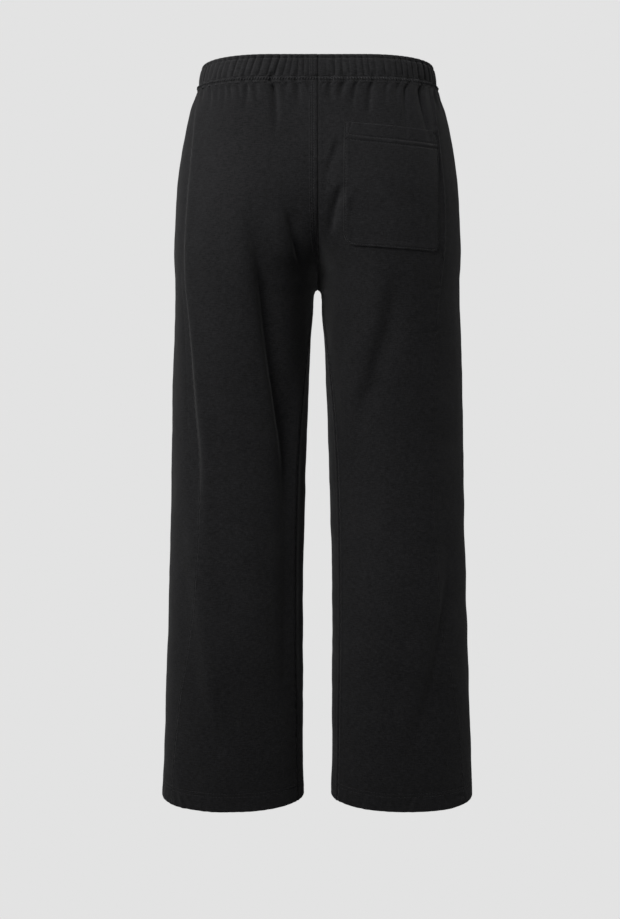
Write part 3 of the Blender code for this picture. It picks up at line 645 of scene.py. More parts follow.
def beside_path(path, x, z):
    """How far places are from a path of straight spans, on which side, and how far along it as a share."""
    spans = np.diff(path, axis=0)
    gap_x, gap_z = x[:, None] - path[:-1, 0], z[:, None] - path[:-1, 1]
    along = (gap_x * spans[:, 0] + gap_z * spans[:, 1]) / np.sum(spans**2, axis=1)
    along = np.clip(along, 0.0, 1.0)
    off_x, off_z = gap_x - along * spans[:, 0], gap_z - along * spans[:, 1]
    nearest = np.argmin(off_x**2 + off_z**2, axis=1)
    rows = np.arange(len(x))
    off_x, off_z = off_x[rows, nearest], off_z[rows, nearest]
    side = np.sign(off_z * spans[nearest, 0] - off_x * spans[nearest, 1])
    return np.hypot(off_x, off_z), side, (nearest + along[rows, nearest]) / len(spans)


def fold_relief(fold, x, z):
    """A fold's height at places on the cloth, by the way across it, faded towards its two ends."""
    away, side, share = beside_path(smooth_path(fold.points), x, z)
    fade = ease(share, 0.0, FOLD_END_SHARE) * ease(1 - share, 0.0, FOLD_END_SHARE)
    return trough(side * away, fold) * fade


def folds_at(half, x, level, out_y):
    """The folds' height over the smooth cloth. They fade where the surface turns away from their view."""
    height = np.zeros_like(x)
    z = np.full_like(x, level)
    for fold in FOLDS + FINE_FOLDS:
        facing = -out_y if fold.face == "back" else out_y
        height += fold_relief(fold, half * x, z) * ease(facing, *FOLD_FACING)
    return height


def gathers_at(panel, share, level):
    """The grooves' depth at shares of the way from the panel's centre edge to its side edge."""
    height = np.zeros_like(share)
    below = BAND_BOTTOM - level
    width = panel_span(panel, BAND_BOTTOM)[0]
    for gather in GATHERS[panel]:
        fade = ease(below, gather.length, GATHER_FADE_START * gather.length)
        away = (share - gather.place) * width - gather.lean * below
        core = CORE_DEPTH * bump(away, 0.0, CORE_WIDTH * GATHER_WIDTH) * np.exp(-max(below, 0.0) / CORE_FADE)
        height -= GATHER_STRENGTH * gather.depth * fade * (bump(away, 0.0, GATHER_WIDTH) + core)
    return height * ease(share * width, 0.0, SEAM_FADE) * ease((1 - share) * width, 0.0, SEAM_FADE)


def panel_span(panel, level):
    """A panel's width at a level, and its furthest point back or front as a distance and a share of columns.

    The columns keep their run down the leg where the outline turns in under the seat.
    """
    loop = loop_at(level)
    face, half = panel.split("_")
    seam = loop.side_seam[half]
    if face == "back":
        width, extreme, leg_share = seam, loop.back_most, BACK_SHARE
    else:
        width, extreme, leg_share = loop.length - seam, loop.length - loop.front_most, FRONT_SHARE
    change = float(ease(-level, *SHARE_CHANGE))
    return width, extreme, (1 - change) * extreme / width + change * leg_share


def shares_of(panel, distance, level):
    """Shares of the way to the side seam for distances from a panel's centre edge or inseam."""
    width, extreme, extreme_share = panel_span(panel, level)
    shares = np.linspace(0.0, 1.0, 101)
    return np.interp(distance, np.interp(shares, [0.0, extreme_share, 1.0], [0.0, extreme, width]), shares)


def half_sign(half):
    return -1.0 if half == "left" else 1.0


def half_of(panel):
    return half_sign(panel.split("_")[1])


def lifted(level, y, loop):
    """The height of a point whose level is given, at the back raised or lowered against the side."""
    back_share = np.maximum((loop.middle_y - y) / (loop.middle_y - loop.back_y), 0.0)
    front_share = np.maximum((y - loop.middle_y) / (loop.front_y - loop.middle_y), 0.0)
    return level + float(BACK_LIFT(level)) * back_share + float(FRONT_LIFT(level)) * front_share


def gathers_along(half, distance):
    """The gathers' depth right under the waistband, at distances round half of it from the centre back."""
    loop = loop_at(BAND_BOTTOM)
    seam = loop.side_seam[half]
    back = gathers_at(f"back_{half}", shares_of(f"back_{half}", distance, BAND_BOTTOM), BAND_BOTTOM)
    front_distance = loop.length - distance
    front = gathers_at(f"front_{half}", shares_of(f"front_{half}", front_distance, BAND_BOTTOM), BAND_BOTTOM)
    return np.where(distance < seam, back, front)


class Grid(NamedTuple):
    """A panel's fine points, row by row from the waistband, the ways out of the cloth, and their places."""

    points: np.ndarray
    out: np.ndarray
    centre_away: np.ndarray
    side_away: np.ndarray
    level: np.ndarray


def even_steps(start, end, step):
    """Levels from start down to end, not included, in an even number of steps."""
    count = 2 * max(1, round(abs(end - start) / step / 2))
    return list(np.linspace(start, end, count, endpoint=False))


def panel_levels(step):
    """A panel's levels from the waistband to the hem, finely spaced near both and where the thighs part."""
    levels = even_steps(BAND_BOTTOM - HALF_GAP, NEAR_WAIST, FINE_ROW)
    levels += even_steps(NEAR_WAIST, NEAR_TOUCH[0], step)
    levels += even_steps(*NEAR_TOUCH, FINE_ROW)
    levels += even_steps(NEAR_TOUCH[1], NEAR_HEM, step)
    levels += even_steps(NEAR_HEM, HEM + HEM_ROUND, FINE_ROW)
    return levels + [HEM + HEM_ROUND]


def column_distances(panel, level):
    """Distances from the centre edge or inseam: finely spaced beside both edges, evenly between them."""
    width, extreme, extreme_share = panel_span(panel, level)
    face = panel.split("_")[0]
    first, last = CENTRE_FINE * FINE_COLUMN, width - SIDE_FINE * FINE_COLUMN
    share = np.linspace(0.0, 1.0, 2 * round(PANEL_WIDTH[face] / COLUMN_STEP[face] / 2) + 1)
    middle = np.interp(share, [0.0, extreme_share, 1.0], [first, extreme, last])
    beside_centre = np.arange(CENTRE_FINE) * FINE_COLUMN
    beside_side = last + np.arange(1, SIDE_FINE + 1) * FINE_COLUMN
    return np.concatenate([beside_centre, middle, beside_side]), width


def panel_row(panel, level):
    """A row of a panel's smooth outer face with its main folds and gathers."""
    loop = loop_at(level)
    distance, width = column_distances(panel, level)
    share = shares_of(panel, distance, level)
    centre_gap = HALF_GAP if level < CROTCH + HALF_GAP else 0.0
    along = np.maximum(distance, centre_gap)
    along[-1] = width + SEAM_OVERLAP
    if panel.startswith("front"):
        along = loop.length - along
    x, y, out_x, out_y = loop.at(along)
    height = folds_at(half_of(panel), x, level, out_y) * ease(along, *FOLD_FADE)
    height = height * ease(loop.length - along, *FOLD_FADE)
    held = SEAM_HOLD + (1 - SEAM_HOLD) * float(ease(BAND_BOTTOM - level, *SEAM_RELEASE))
    height = height + held * gathers_at(panel, share, level)
    x = np.maximum(x + out_x * height, HALF_GAP)
    y = y + out_y * height
    return np.column_stack([half_of(panel) * x, y, lifted(level, y, loop)]), distance, width


def grid_normals(points, turned):
    """Directions straight out of a grid of points."""
    across = np.gradient(points, axis=1)
    down = np.gradient(points, axis=0)
    out = np.cross(across, down) * turned
    return out / np.linalg.norm(out, axis=2)[..., None]


def panel_grid(panel):
    levels = panel_levels(ROW_STEP[panel.split("_")[0]])
    rows = [panel_row(panel, level) for level in levels]
    points = np.array([row[0] for row in rows])
    away = np.array([row[1] for row in rows])
    width = np.array([row[2] for row in rows])[:, None]
    turned = half_of(panel) * (-1.0 if panel.startswith("back") else 1.0)
    level = np.repeat(np.array(levels)[:, None], points.shape[1], axis=1)
    return Grid(points, grid_normals(points, turned), away, width - away, level)


def waves(u, v, size, seed, count=28):
    """Soft uneven relief between about -1 and 1, whose swells are about the given size across."""
    chance = np.random.default_rng(seed)
    total = np.zeros_like(u)
    for _ in range(count):
        heading = chance.uniform(0.0, 2 * math.pi)
        length = size * chance.uniform(0.7, 1.6)
        phase = chance.uniform(0.0, 2 * math.pi)
        total += np.cos(2 * math.pi * (u * math.cos(heading) + v * math.sin(heading)) / length + phase)
    return total / math.sqrt(2 * count)


def rolled(away, depth, reach):
    """A rounded edge: how far the cloth has sunk at a distance from its seam."""
    short = 1.0 - np.clip(away / reach, 0.0, 1.0)
    return -depth * (1.0 - np.sqrt(1.0 - short**2))


def bump(place, centre, width):
    return np.exp(-(((place - centre) / width) ** 2))


def puckers(along, away, seed, pitch, fade):
    """Short waves along a stitched seam, fading away from it."""
    chance = np.random.default_rng(seed)
    total = np.zeros_like(along)
    for _ in range(6):
        length = pitch * chance.uniform(0.75, 1.35)
        total += np.cos(2 * math.pi * along / length + chance.uniform(0.0, 2 * math.pi))
    return total / math.sqrt(3) * np.exp(-away / fade)


def seam_relief(panel, grid):
    """The cloth's height beside the panel's two long edges."""
    seed = PANEL_SEEDS[panel]
    centre, side, down = grid.centre_away, grid.side_away, -grid.level
    height = rolled(centre, ROLL, ROLL_REACH) + rolled(side, SIDE_ROLL, SIDE_ROLL_REACH)
    height += SEAM_RIDGE * bump(centre, RIDGE_PLACE, RIDGE_SIZE)
    fade = ease(BAND_BOTTOM - grid.level, *SIDE_RIDGE_START)
    side_ridge = Curve(SIDE_RIDGES[panel.split("_")[1]])
    height += side_ridge(grid.level) * bump(side, 0.0, SIDE_RIDGE_SIZE) * fade
    if panel.endswith("left"):
        past = (side if panel.startswith("back") else -side) - SIDE_STEP_PLACE
        step = np.tanh(past / SIDE_STEP_WIDTH) * bump(past, 0.0, SIDE_STEP_REACH)
        height += step * Curve(SIDE_STEPS)(grid.level)
    height += PUCKER * puckers(down, centre, seed, PUCKER_PITCH, PUCKER_FADE)
    height += PUCKER * puckers(down, side, seed + 10, PUCKER_PITCH, PUCKER_FADE)
    if panel.endswith("left"):
        height += centre_strip(centre) * ease(grid.level, CROTCH + STRIP_END[0], CROTCH + STRIP_END[1])
    return height


def cloth_relief(panel, grid):
    """The fine relief over a panel's main form."""
    seed = PANEL_SEEDS[panel]
    u, v = grid.side_away, grid.level
    below = BAND_BOTTOM - v
    height = seam_relief(panel, grid)
    calm = ease(grid.centre_away, *SWELL_START) * ease(u, *SWELL_START) * ease(below, *SWELL_TOP)
    swells = SWELL[0] * waves(u, v, SWELL[1], seed + 20)
    height += calm * (swells + SMALL_SWELL[0] * waves(u, v, SMALL_SWELL[1], seed + 30))
    under_band = np.exp(-below / UNDER_BAND_FADE) * ease(below, *UNDER_BAND_START)
    height += UNDER_BAND * under_band * puckers(u, np.zeros_like(u), seed + 40, UNDER_BAND_PITCH, 1.0)
    height -= UNDER_LIP * (1.0 - ease(below, *UNDER_LIP_END))
    for place in HEM_STITCHES:
        height -= HEM_GROOVE * bump(v, HEM + place, STITCH_GROOVE)
    in_hem = ease(v, HEM + HEM_HEIGHT + HEM_ROPE_TOP[0], HEM + HEM_HEIGHT + HEM_ROPE_TOP[1])
    rope = puckers(u + HEM_ROPE_SLANT * (v - HEM), np.zeros_like(u), seed + 50, HEM_PITCH, 1.0)
    rope *= np.exp(-np.abs(v - HEM - HEM_ROPE_PLACE) / HEM_ROPE_FADE)
    return height + HEM_ROPE * (HEM_ROPE_ABOVE + (1 - HEM_ROPE_ABOVE) * in_hem) * rope


def inner_relief(grid):
    """How far a panel's inner face lies under its outer one, more at seam allowances and in the hem."""
    allowance = ease(grid.centre_away, ALLOWANCE + ALLOWANCE_EDGE, ALLOWANCE)
    allowance += ease(grid.side_away, ALLOWANCE + ALLOWANCE_EDGE, ALLOWANCE)
    hem = ease(grid.level, HEM + HEM_HEIGHT + HEM_EDGE, HEM + HEM_HEIGHT - HEM_EDGE)
    return WALL + ALLOWANCE_RISE * np.minimum(allowance, 1.0) * (1 - hem) + HEM_EXTRA * hem


def hem_rows(outer_end, inner_end):
    """Rows that round the hem's lower edge from the outer face to the inner one."""
    middle, half_thick = (outer_end + inner_end) / 2, (outer_end - inner_end) / 2
    size = np.linalg.norm(half_thick, axis=1)[:, None]
    rows = []
    for step in range(1, HEM_EDGE_ROWS):
        turn = math.pi * step / HEM_EDGE_ROWS
        rows.append(middle + half_thick * math.cos(turn) + DOWN * size * math.sin(turn))
    return rows


def strip_faces(above, below):
    """Faces between two rows of point numbers, with as many points each or twice as many above."""
    if len(above) == len(below):
        return [(above[k], below[k], below[k + 1], above[k + 1]) for k in range(len(above) - 1)]
    faces = []
    for k in range(len(below) - 1):
        left, middle, right = above[2 * k], above[2 * k + 1], above[2 * k + 2]
        faces += [(left, below[k], middle), (middle, below[k], below[k + 1]), (middle, below[k + 1], right)]
    return faces


def sheet_faces(numbers):
    """Faces between each row of point numbers and the next."""
    return [face for above, below in zip(numbers, numbers[1:]) for face in strip_faces(above, below)]


def numbered(rows, first):
    """Point numbers row by row, counted on from the first."""
    numbers = []
    for row in rows:
        numbers.append(list(range(first, first + len(row))))
        first += len(row)
    return numbers


def new_mesh(name, points, faces, places):
    """A smooth mesh whose faces point outwards, with a map of its points' places on the flat cloth."""
    mesh = bpy.data.meshes.new(name)
    mesh.from_pydata(np.asarray(points).tolist(), [], faces)
    shape = bmesh.new()
    shape.from_mesh(mesh)
    bmesh.ops.recalc_face_normals(shape, faces=shape.faces)
    shape.to_mesh(mesh)
    shape.free()
    corners = np.empty(len(mesh.loops), dtype=np.int32)
    mesh.loops.foreach_get("vertex_index", corners)
    layer = mesh.uv_layers.new(name="cloth")
    layer.data.foreach_set("uv", np.asarray(places, dtype=np.float32)[corners].ravel())
    mesh.shade_smooth()
    return mesh


def add_piece(name, mesh, material):
    """A piece of the object, which rides on its one body."""
    mesh.materials.append(material)
    piece = bpy.data.objects.new(name, mesh)
    bpy.context.scene.collection.objects.link(piece)
    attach(piece, "root")
    return piece


def own_side(panel, grid, points):
    """Points of a panel kept on its own side of the centre, down to the crotch."""
    side = half_of(panel)
    own = np.maximum(side * points[..., 0], HALF_GAP)
    own[:, 0] = -SEAM_OVERLAP
    x = np.where(grid.level > CROTCH - HALF_GAP, side * own, points[..., 0])
    return np.dstack([x, points[..., 1:]])


def outer_face(panel, grid):
    """A panel's finished outer face."""
    return own_side(panel, grid, grid.points + grid.out * cloth_relief(panel, grid)[..., None])


def panel_mesh(panel, grid, outside):
    """A panel's thin wall: fine outer face, rounded hem edge, and an inner face half as fine."""
    inside = own_side(panel, grid, grid.points - grid.out * inner_relief(grid)[..., None])
    edge_rows = hem_rows(outside[-1], inside[-1])
    outer_rows = list(outside) + edge_rows
    inner_rows = list(inside[::2, ::2])
    outer_numbers = numbered(outer_rows, 0)
    inner_numbers = numbered(inner_rows, sum(len(row) for row in outer_rows))
    faces = sheet_faces(outer_numbers) + sheet_faces(inner_numbers)
    faces += strip_faces(outer_numbers[0], inner_numbers[0])
    faces += strip_faces(outer_numbers[-1], inner_numbers[-1])
    for end in (0, -1):
        outer_edge = [row[end] for row in outer_numbers]
        faces += strip_faces(outer_edge[: len(outside)], [row[end] for row in inner_numbers])
        faces.append((*outer_edge[len(outside) - 1 :], inner_numbers[-1][end]))
    cloth_places = np.dstack([grid.side_away, grid.level])
    edge_places = [cloth_places[-1] - np.array([0.0, 0.0005 * (k + 1)]) for k in range(len(edge_rows))]
    places = list(cloth_places) + edge_places + list(cloth_places[::2, ::2])
    return new_mesh(panel, np.concatenate(outer_rows + inner_rows), faces, np.concatenate(places))


def rib_grooves(half):
    """Places and depths of the grooves round half the waistband, from the centre back to the centre front."""
    loop = loop_at(0.0)
    reach = 2 * Loop.COUNT - 1
    seen_x, seen_depths = zip(*BACK_GROOVES[half])
    places = [0.0, *(float(np.interp(x, loop.x[:reach], loop.distance[:reach])) for x in seen_x)]
    depths = [CENTRE_GROOVE, *seen_depths]
    chance = np.random.default_rng(RIB_SEEDS[half])
    while places[-1] < loop.length - RIB_REACH[1]:
        places.append(places[-1] + chance.uniform(*RIB_REACH))
        depths.append(chance.uniform(*RIB_DEPTHS))
    places.append(loop.length)
    depths.append(depths[-1])
    return np.array(places), np.array(depths)


def ribs(half, distance, level):
    """The ribs' height: round arches between narrow grooves."""
    places, depths = rib_grooves(half)
    lean = RIB_LEAN[half] * level * ease(distance, *RIB_LEAN_START)
    lean *= ease(distance, places[-1], places[-1] - RIB_LEAN_START[1])
    spot = np.clip(distance + lean, 0.0, places[-1])
    index = np.clip(np.searchsorted(places, spot, side="right") - 1, 0, len(places) - 2)
    share = (spot - places[index]) / (places[index + 1] - places[index])
    depth = depths[index] * (1 - share) + depths[index + 1] * share
    return -RIB_STRENGTH * depth * (1.0 - np.sqrt(np.clip(4 * share * (1 - share), 0.0, 1.0)))


def centre_strip(away):
    """The topstitched strip beside a centre seam."""
    strip = ease(away, *STRIP_START) * ease(away, STRIP_WIDTH + STRIP_FALL, STRIP_WIDTH)
    grooves = sum(bump(away, place, STITCH_GROOVE) for place in STRIP_STITCHES)
    return STRIP_RISE * strip - STITCH_DEPTH * grooves


def band_relief(half, distance, level):
    """The waistband's height over its plain outer face, down to the lip that covers the waist seam."""
    middle, half_tall = (BAND_TOP + BAND_BOTTOM) / 2, (BAND_TOP - BAND_BOTTOM) / 2
    over_seam = 1.0 - float(ease(level, SEAM_TOP, SEAM_STITCHES[0]))
    height = BAND_BULGE * (1.0 - min(abs(level - middle) / half_tall, 1.0) ** 2) + np.zeros_like(distance)
    height += ribs(half, distance, level) * over_seam
    height -= RIM_GROOVE[1] * bump(level, BAND_TOP - RIM_GROOVE[0], RIM_GROOVE[2])
    height += float(Curve(SEAM_PROFILE)(level))
    bumps = np.cos(2 * math.pi * (distance + SEAM_BUMP_SLANT * level) / SEAM_BUMPS)
    height += SEAM_BUMP_HEIGHT * bump(level, *SEAM_BUMP_LEVELS) * bumps
    height += lip_relief(half, distance, float(ease(level, SEAM_TOP + GATHERS_ABOVE, BAND_BOTTOM)))
    if half == "left":
        height += centre_strip(distance) * over_seam
    return height


def lip_relief(half, distance, gathered=1.0):
    """The waistband's height from the share of the gathers that it holds, and from the centre back seam."""
    return SEAM_HOLD * gathers_along(half, distance) * gathered + rolled(distance, ROLL, ROLL_REACH)


def band_points(half, share, level, height):
    """Points of half the waistband moved out from its plain face at one level, and the ways out of it."""
    loop = loop_at(level)
    x, y, out_x, out_y = loop.at(share * loop.length)
    x, y = x + out_x * height, y + out_y * height
    side = half_sign(half)
    return (
        np.column_stack([side * x, y, lifted(level, y, loop)]),
        np.column_stack([side * out_x, out_y, np.zeros_like(out_x)]),
    )


def band_half_rows(half):
    """Closed profile rows of half the waistband, from centre back to centre front, and their flat places."""
    count = 2 * round(loop_at(0.0).length / BAND_COLUMN / 2) + 1
    share = np.linspace(0.0, 1.0, count)
    distance = share * loop_at(BAND_BOTTOM).length
    side = half_sign(half)
    top = BAND_TOP - BAND_ROUND
    lip = lip_relief(half, distance)
    rows, places = [], []

    def add(level, height, flat_level):
        points = band_points(half, share, level, height)[0]
        points[:, 0] = side * np.maximum(side * points[:, 0], HALF_GAP)
        points[0, 0], points[-1, 0] = -side * SEAM_OVERLAP, 0.0
        rows.append(points)
        places.append(np.column_stack([distance, np.full(count, flat_level)]))

    def inside(level):
        return -BAND_THICKNESS - RIB_INSIDE * ribs(half, distance, level)

    outer_levels = list(np.linspace(top, SEAM_TOP, OUTER_BAND_ROWS, endpoint=False))
    for level in outer_levels + list(np.linspace(SEAM_TOP, BAND_LIP, SEAM_ROWS)):
        add(level, band_relief(half, distance, level), level)
    add(BAND_LIP - 0.0002, lip - 0.0001, BAND_LIP - 0.001)
    add(BAND_BOTTOM + HALF_GAP, lip - 0.0002, BAND_LIP - 0.003)
    add(BAND_BOTTOM + HALF_GAP, -BAND_THICKNESS, BAND_LIP - 0.007)
    for level in np.linspace(BAND_BOTTOM + 0.001, top, INNER_BAND_ROWS):
        add(level, inside(level), -level)
    outer_height, inner_height = band_relief(half, distance, top), inside(top)
    middle, reach = (outer_height + inner_height) / 2, (outer_height - inner_height) / 2
    for step in range(1, BAND_EDGE_ROWS):
        turn = math.pi * step / BAND_EDGE_ROWS
        level = top + BAND_ROUND * math.sin(turn)
        add(level, middle - reach * math.cos(turn), level)
    return rows, places


def band_mesh():
    """The waistband as one closed strip, its two ends meeting at the centre back."""
    right, right_places = band_half_rows("right")
    left, left_places = band_half_rows("left")
    rows, places = [], []
    for k, (a, b) in enumerate(zip(right, left)):
        rows.append(np.concatenate([a, b[-2::-1]]))
        far = left_places[k] * np.array([-1.0, 1.0]) + np.array([2 * right_places[k][-1, 0], 0.0])
        places.append(np.concatenate([right_places[k], far[-2::-1]]))
    numbers = numbered(rows, 0)
    faces = sheet_faces(numbers + numbers[:1])
    faces.append([row[0] for row in numbers])
    faces.append([row[-1] for row in reversed(numbers)])
    return new_mesh("waistband", np.concatenate(rows), faces, np.concatenate(places))


def grid_at(grid, half, x, level):
    """Points of a back panel's smooth face and the directions out of it, found by x and level."""
    reach_x = np.linspace(0.0, PANEL_REACH, 2 * round(PANEL_REACH / 0.001))
    levels = grid.level[:, 0]
    first = np.searchsorted(-levels, -level.max()) - 1
    last = np.searchsorted(-levels, -level.min()) + 1
    found = []
    for row in range(first, last + 1):
        columns = np.concatenate([grid.points[row], grid.out[row]], axis=1)
        side_x = half * grid.points[row][:, 0]
        found.append(np.column_stack([np.interp(reach_x, side_x, column) for column in columns.T]))
    found = np.array(found)
    row_place = np.interp(-level, -levels[first : last + 1], np.arange(last + 1 - first))
    row = np.clip(row_place.astype(int), 0, last - first - 1)
    down = (row_place - row)[:, None]
    column_place = np.clip(half * x / reach_x[-1] * (len(reach_x) - 1), 0, len(reach_x) - 1.001)
    column = column_place.astype(int)
    across = (column_place - column)[:, None]
    upper = found[row, column] * (1 - across) + found[row, column + 1] * across
    lower = found[row + 1, column] * (1 - across) + found[row + 1, column + 1] * across
    both = upper * (1 - down) + lower * down
    out = both[:, 3:] / np.linalg.norm(both[:, 3:], axis=1)[:, None]
    return both[:, :3], out


class PocketSize(NamedTuple):
    """The back patch pocket on the right back panel.

    The left and right edges are x by the share down, and the top and foot are levels by x.
    """

    left: tuple = ((0.0, 0.0345), (0.25, 0.0338), (0.60, 0.0333), (1.0, 0.0336))
    right: tuple = (
        (0.0, 0.1540), (0.045, 0.1567), (0.095, 0.1597), (0.20, 0.1603), (0.60, 0.1601), (1.0, 0.1598),
    )
    top: tuple = (
        (0.0335, -0.0737), (0.0709, -0.0775), (0.1025, -0.0800), (0.1240, -0.0817), (0.1605, -0.0831),
    )
    foot: tuple = (
        (0.0333, -0.2350), (0.0497, -0.2367), (0.0927, -0.2404), (0.1461, -0.2440), (0.1605, -0.2450),
    )
    round_left: float = 0.0160
    round_right: float = 0.0110
    wide: float = 0.1250
    tall: float = 0.1620
    hem: float = 0.0237
    hem_extra: float = 0.0004
    wall: float = 0.0012
    stand_off: float = 0.0003
    columns: int = 121
    rows: int = 165


POCKET = PocketSize()


def pocket_edge_rise(away, roundness):
    """How far a rounded lower corner lifts the pocket's foot, at a distance in from its side."""
    short = np.clip(roundness - away, 0.0, roundness)
    return roundness - np.sqrt(roundness**2 - short**2)


def pocket_places(across, down):
    """Places of the pocket in x and level, for shares across and down."""
    size = POCKET
    left, right = Curve(size.left)(down), Curve(size.right)(down)
    x = left + (right - left) * across
    top, foot = Curve(size.top)(x), Curve(size.foot)(x)
    foot = foot + pocket_edge_rise(x - left, size.round_left) + pocket_edge_rise(right - x, size.round_right)
    return x, top + (foot - top) * down


def pocket_relief(x, level, from_top, to_edge):
    """The pocket's height over its plain face: rounded edges, the edge stitching, and the hem's two rows."""
    size = POCKET
    height = rolled(np.minimum(to_edge, from_top), size.wall + size.stand_off - 0.0002, POCKET_ROLL)
    to_foot = np.maximum(level - Curve(size.foot)(x), 0.0)
    height += POCKET_FOOT_LIFT * np.exp(-to_foot / POCKET_FOOT_REACH) * ease(to_edge, 0.0, 0.0005)
    height -= POCKET_GROOVE * bump(to_edge, POCKET_STITCH, STITCH_GROOVE)
    height += POCKET_PUFF * bump(to_edge, *POCKET_PUFF_PLACE)
    inside = ease(to_edge, 0.0004, POCKET_STITCH + 0.001)
    height += size.hem_extra * ease(from_top, size.hem + 0.0006, size.hem - 0.0006)
    for place in POCKET_HEM_STITCHES:
        height -= inside * POCKET_HEM_GROOVE * bump(from_top, place, STITCH_GROOVE)
    height += POCKET_HEM_RIDGE * inside * bump(from_top, sum(POCKET_HEM_STITCHES) / 2, POCKET_HEM_RIDGE_SIZE)
    for tack in POCKET_TACKS:
        height -= POCKET_GROOVE * bump(beside_path(np.array(tack), x, level)[0], 0.0, STITCH_GROOVE)
    for swell, width, seed in (POCKET_SWELL, POCKET_SMALL_SWELL):
        height += inside * swell * waves(x, level, width, seed)
    return height


def pocket_shares(length, count):
    """Shares of the pocket's width or height for its columns or rows, closer together beside its edges."""
    edge = np.linspace(0.0, POCKET_EDGE, POCKET_EDGE_LINES + 1)[:-1]
    middle = np.linspace(POCKET_EDGE, length - POCKET_EDGE, count - 2 * POCKET_EDGE_LINES)
    return np.concatenate([edge / length, middle / length, 1 - edge[::-1] / length])


def rim(numbers):
    """The four edges of a grid of point numbers."""
    return numbers[0], numbers[-1], [row[0] for row in numbers], [row[-1] for row in numbers]


def pocket_mesh(grid):
    """The patch pocket, made from the right back panel's own points moved out."""
    size = POCKET
    across, down = np.meshgrid(pocket_shares(size.wide, size.columns), pocket_shares(size.tall, size.rows))
    x, level = pocket_places(across.ravel(), down.ravel())
    points, out = grid_at(grid, 1.0, x, level)
    relief = pocket_relief(x, level, down.ravel() * size.tall, pocket_edge_distance(x, level))
    height = size.stand_off + size.wall + relief
    outside = (points + out * height[:, None]).reshape(*down.shape, 3)
    inside = (points + out * size.stand_off * 0.5).reshape(*down.shape, 3)[::2, ::2]
    outer_numbers = numbered(outside, 0)
    inner_numbers = numbered(inside, down.size)
    faces = sheet_faces(outer_numbers) + sheet_faces(inner_numbers)
    for outer_edge, inner_edge in zip(rim(outer_numbers), rim(inner_numbers)):
        faces += strip_faces(outer_edge, inner_edge)
    places = np.column_stack([x, level]).reshape(*down.shape, 2)
    all_places = np.concatenate([places.reshape(-1, 2), places[::2, ::2].reshape(-1, 2)])
    all_points = np.concatenate([outside.reshape(-1, 3), inside.reshape(-1, 3)])
    return new_mesh("back_pocket", all_points, faces, all_places)


def pocket_outline(count=90):
    """Points of the pocket's sides and foot, in x and level, from the inner top corner to the outer one."""
    along = np.linspace(0.0, 1.0, count)
    left = np.column_stack(pocket_places(np.zeros(count), along))
    foot = np.column_stack(pocket_places(along, np.ones(count)))
    right = np.column_stack(pocket_places(np.ones(count), along[::-1]))
    return np.concatenate([left, foot[1:], right[1:]])


def pocket_edge_distance(x, level):
    """How far places on the pocket are from its stitched sides and foot."""
    return beside_path(pocket_outline(), x, level)[0]


class Stitches(NamedTuple):
    """Short threads: the points along each one, the ways out of the cloth at them, and their radius."""

    points: np.ndarray
    out: np.ndarray
    radius: float = THREAD


def cut_into_stitches(points, out, length=0.0030, gap=0.0008):
    """Stitches along a path on the cloth, sunk into it at their ends."""
    steps = np.linalg.norm(np.diff(points, axis=0), axis=1)
    along = np.concatenate([[0.0], np.cumsum(steps)])
    count = max(1, int(along[-1] / (length + gap)))
    starts = np.arange(count) * along[-1] / count
    shares = np.array([0.0, 0.25, 0.75, 1.0])
    places = starts[:, None] + shares * (along[-1] / count - gap)
    spots = np.dstack([np.interp(places, along, points[:, axis]) for axis in range(3)])
    ways = np.dstack([np.interp(places, along, out[:, axis]) for axis in range(3)])
    return Stitches(spots, ways / np.linalg.norm(ways, axis=2)[..., None])


def thread_mesh(name, rows):
    """One mesh of many short threads."""
    centres = np.concatenate([row.points for row in rows])
    radius = np.concatenate([np.full((len(row.points), 1), row.radius) for row in rows])
    out = np.concatenate([row.out for row in rows])
    run = np.gradient(centres, axis=1)
    run /= np.linalg.norm(run, axis=2)[..., None]
    across = np.cross(run, out)
    across /= np.linalg.norm(across, axis=2)[..., None]
    thick = radius * np.array([0.55, 1.0, 1.0, 0.55])
    rise = radius * np.array([-0.5, 0.55, 0.55, -0.5])
    centres = centres + out * rise[..., None]
    turns = np.linspace(0.0, 2 * math.pi, THREAD_SIDES, endpoint=False)
    rings = [centres + (out * math.cos(turn) + across * math.sin(turn)) * thick[..., None] for turn in turns]
    points = np.stack(rings, axis=2)
    count, rings_each, sides = points.shape[:3]
    faces = []
    corners = np.arange(sides)
    after = (corners + 1) % sides
    for base in range(0, count * rings_each * sides, rings_each * sides):
        for near in range(base, base + (rings_each - 1) * sides, sides):
            ring = (near + corners, near + after, near + sides + after, near + sides + corners)
            faces += np.column_stack(ring).tolist()
        faces.append((base + corners[::-1]).tolist())
        faces.append((base + (rings_each - 1) * sides + corners).tolist())
    points = points.reshape(-1, 3)
    return new_mesh(name, points, faces, points[:, [0, 2]])


def along_grid(points, grid, path):
    """Points of a panel's finished face and the directions out of it, along a path of distance and level."""
    level, away = grid.level[:, 0], grid.centre_away
    found = []
    for distance, height in path:
        row = int(np.clip(np.searchsorted(-level, -height) - 1, 0, len(level) - 2))
        down = np.clip((level[row] - height) / (level[row] - level[row + 1]), 0.0, 1.0)
        both = 0.0
        for which, share in ((row, 1 - down), (row + 1, down)):
            columns = np.concatenate([points[which], grid.out[which]], axis=1).T
            both = both + share * np.array([np.interp(distance, away[which], column) for column in columns])
        found.append(both)
    return np.split(np.array(found), 2, axis=1)


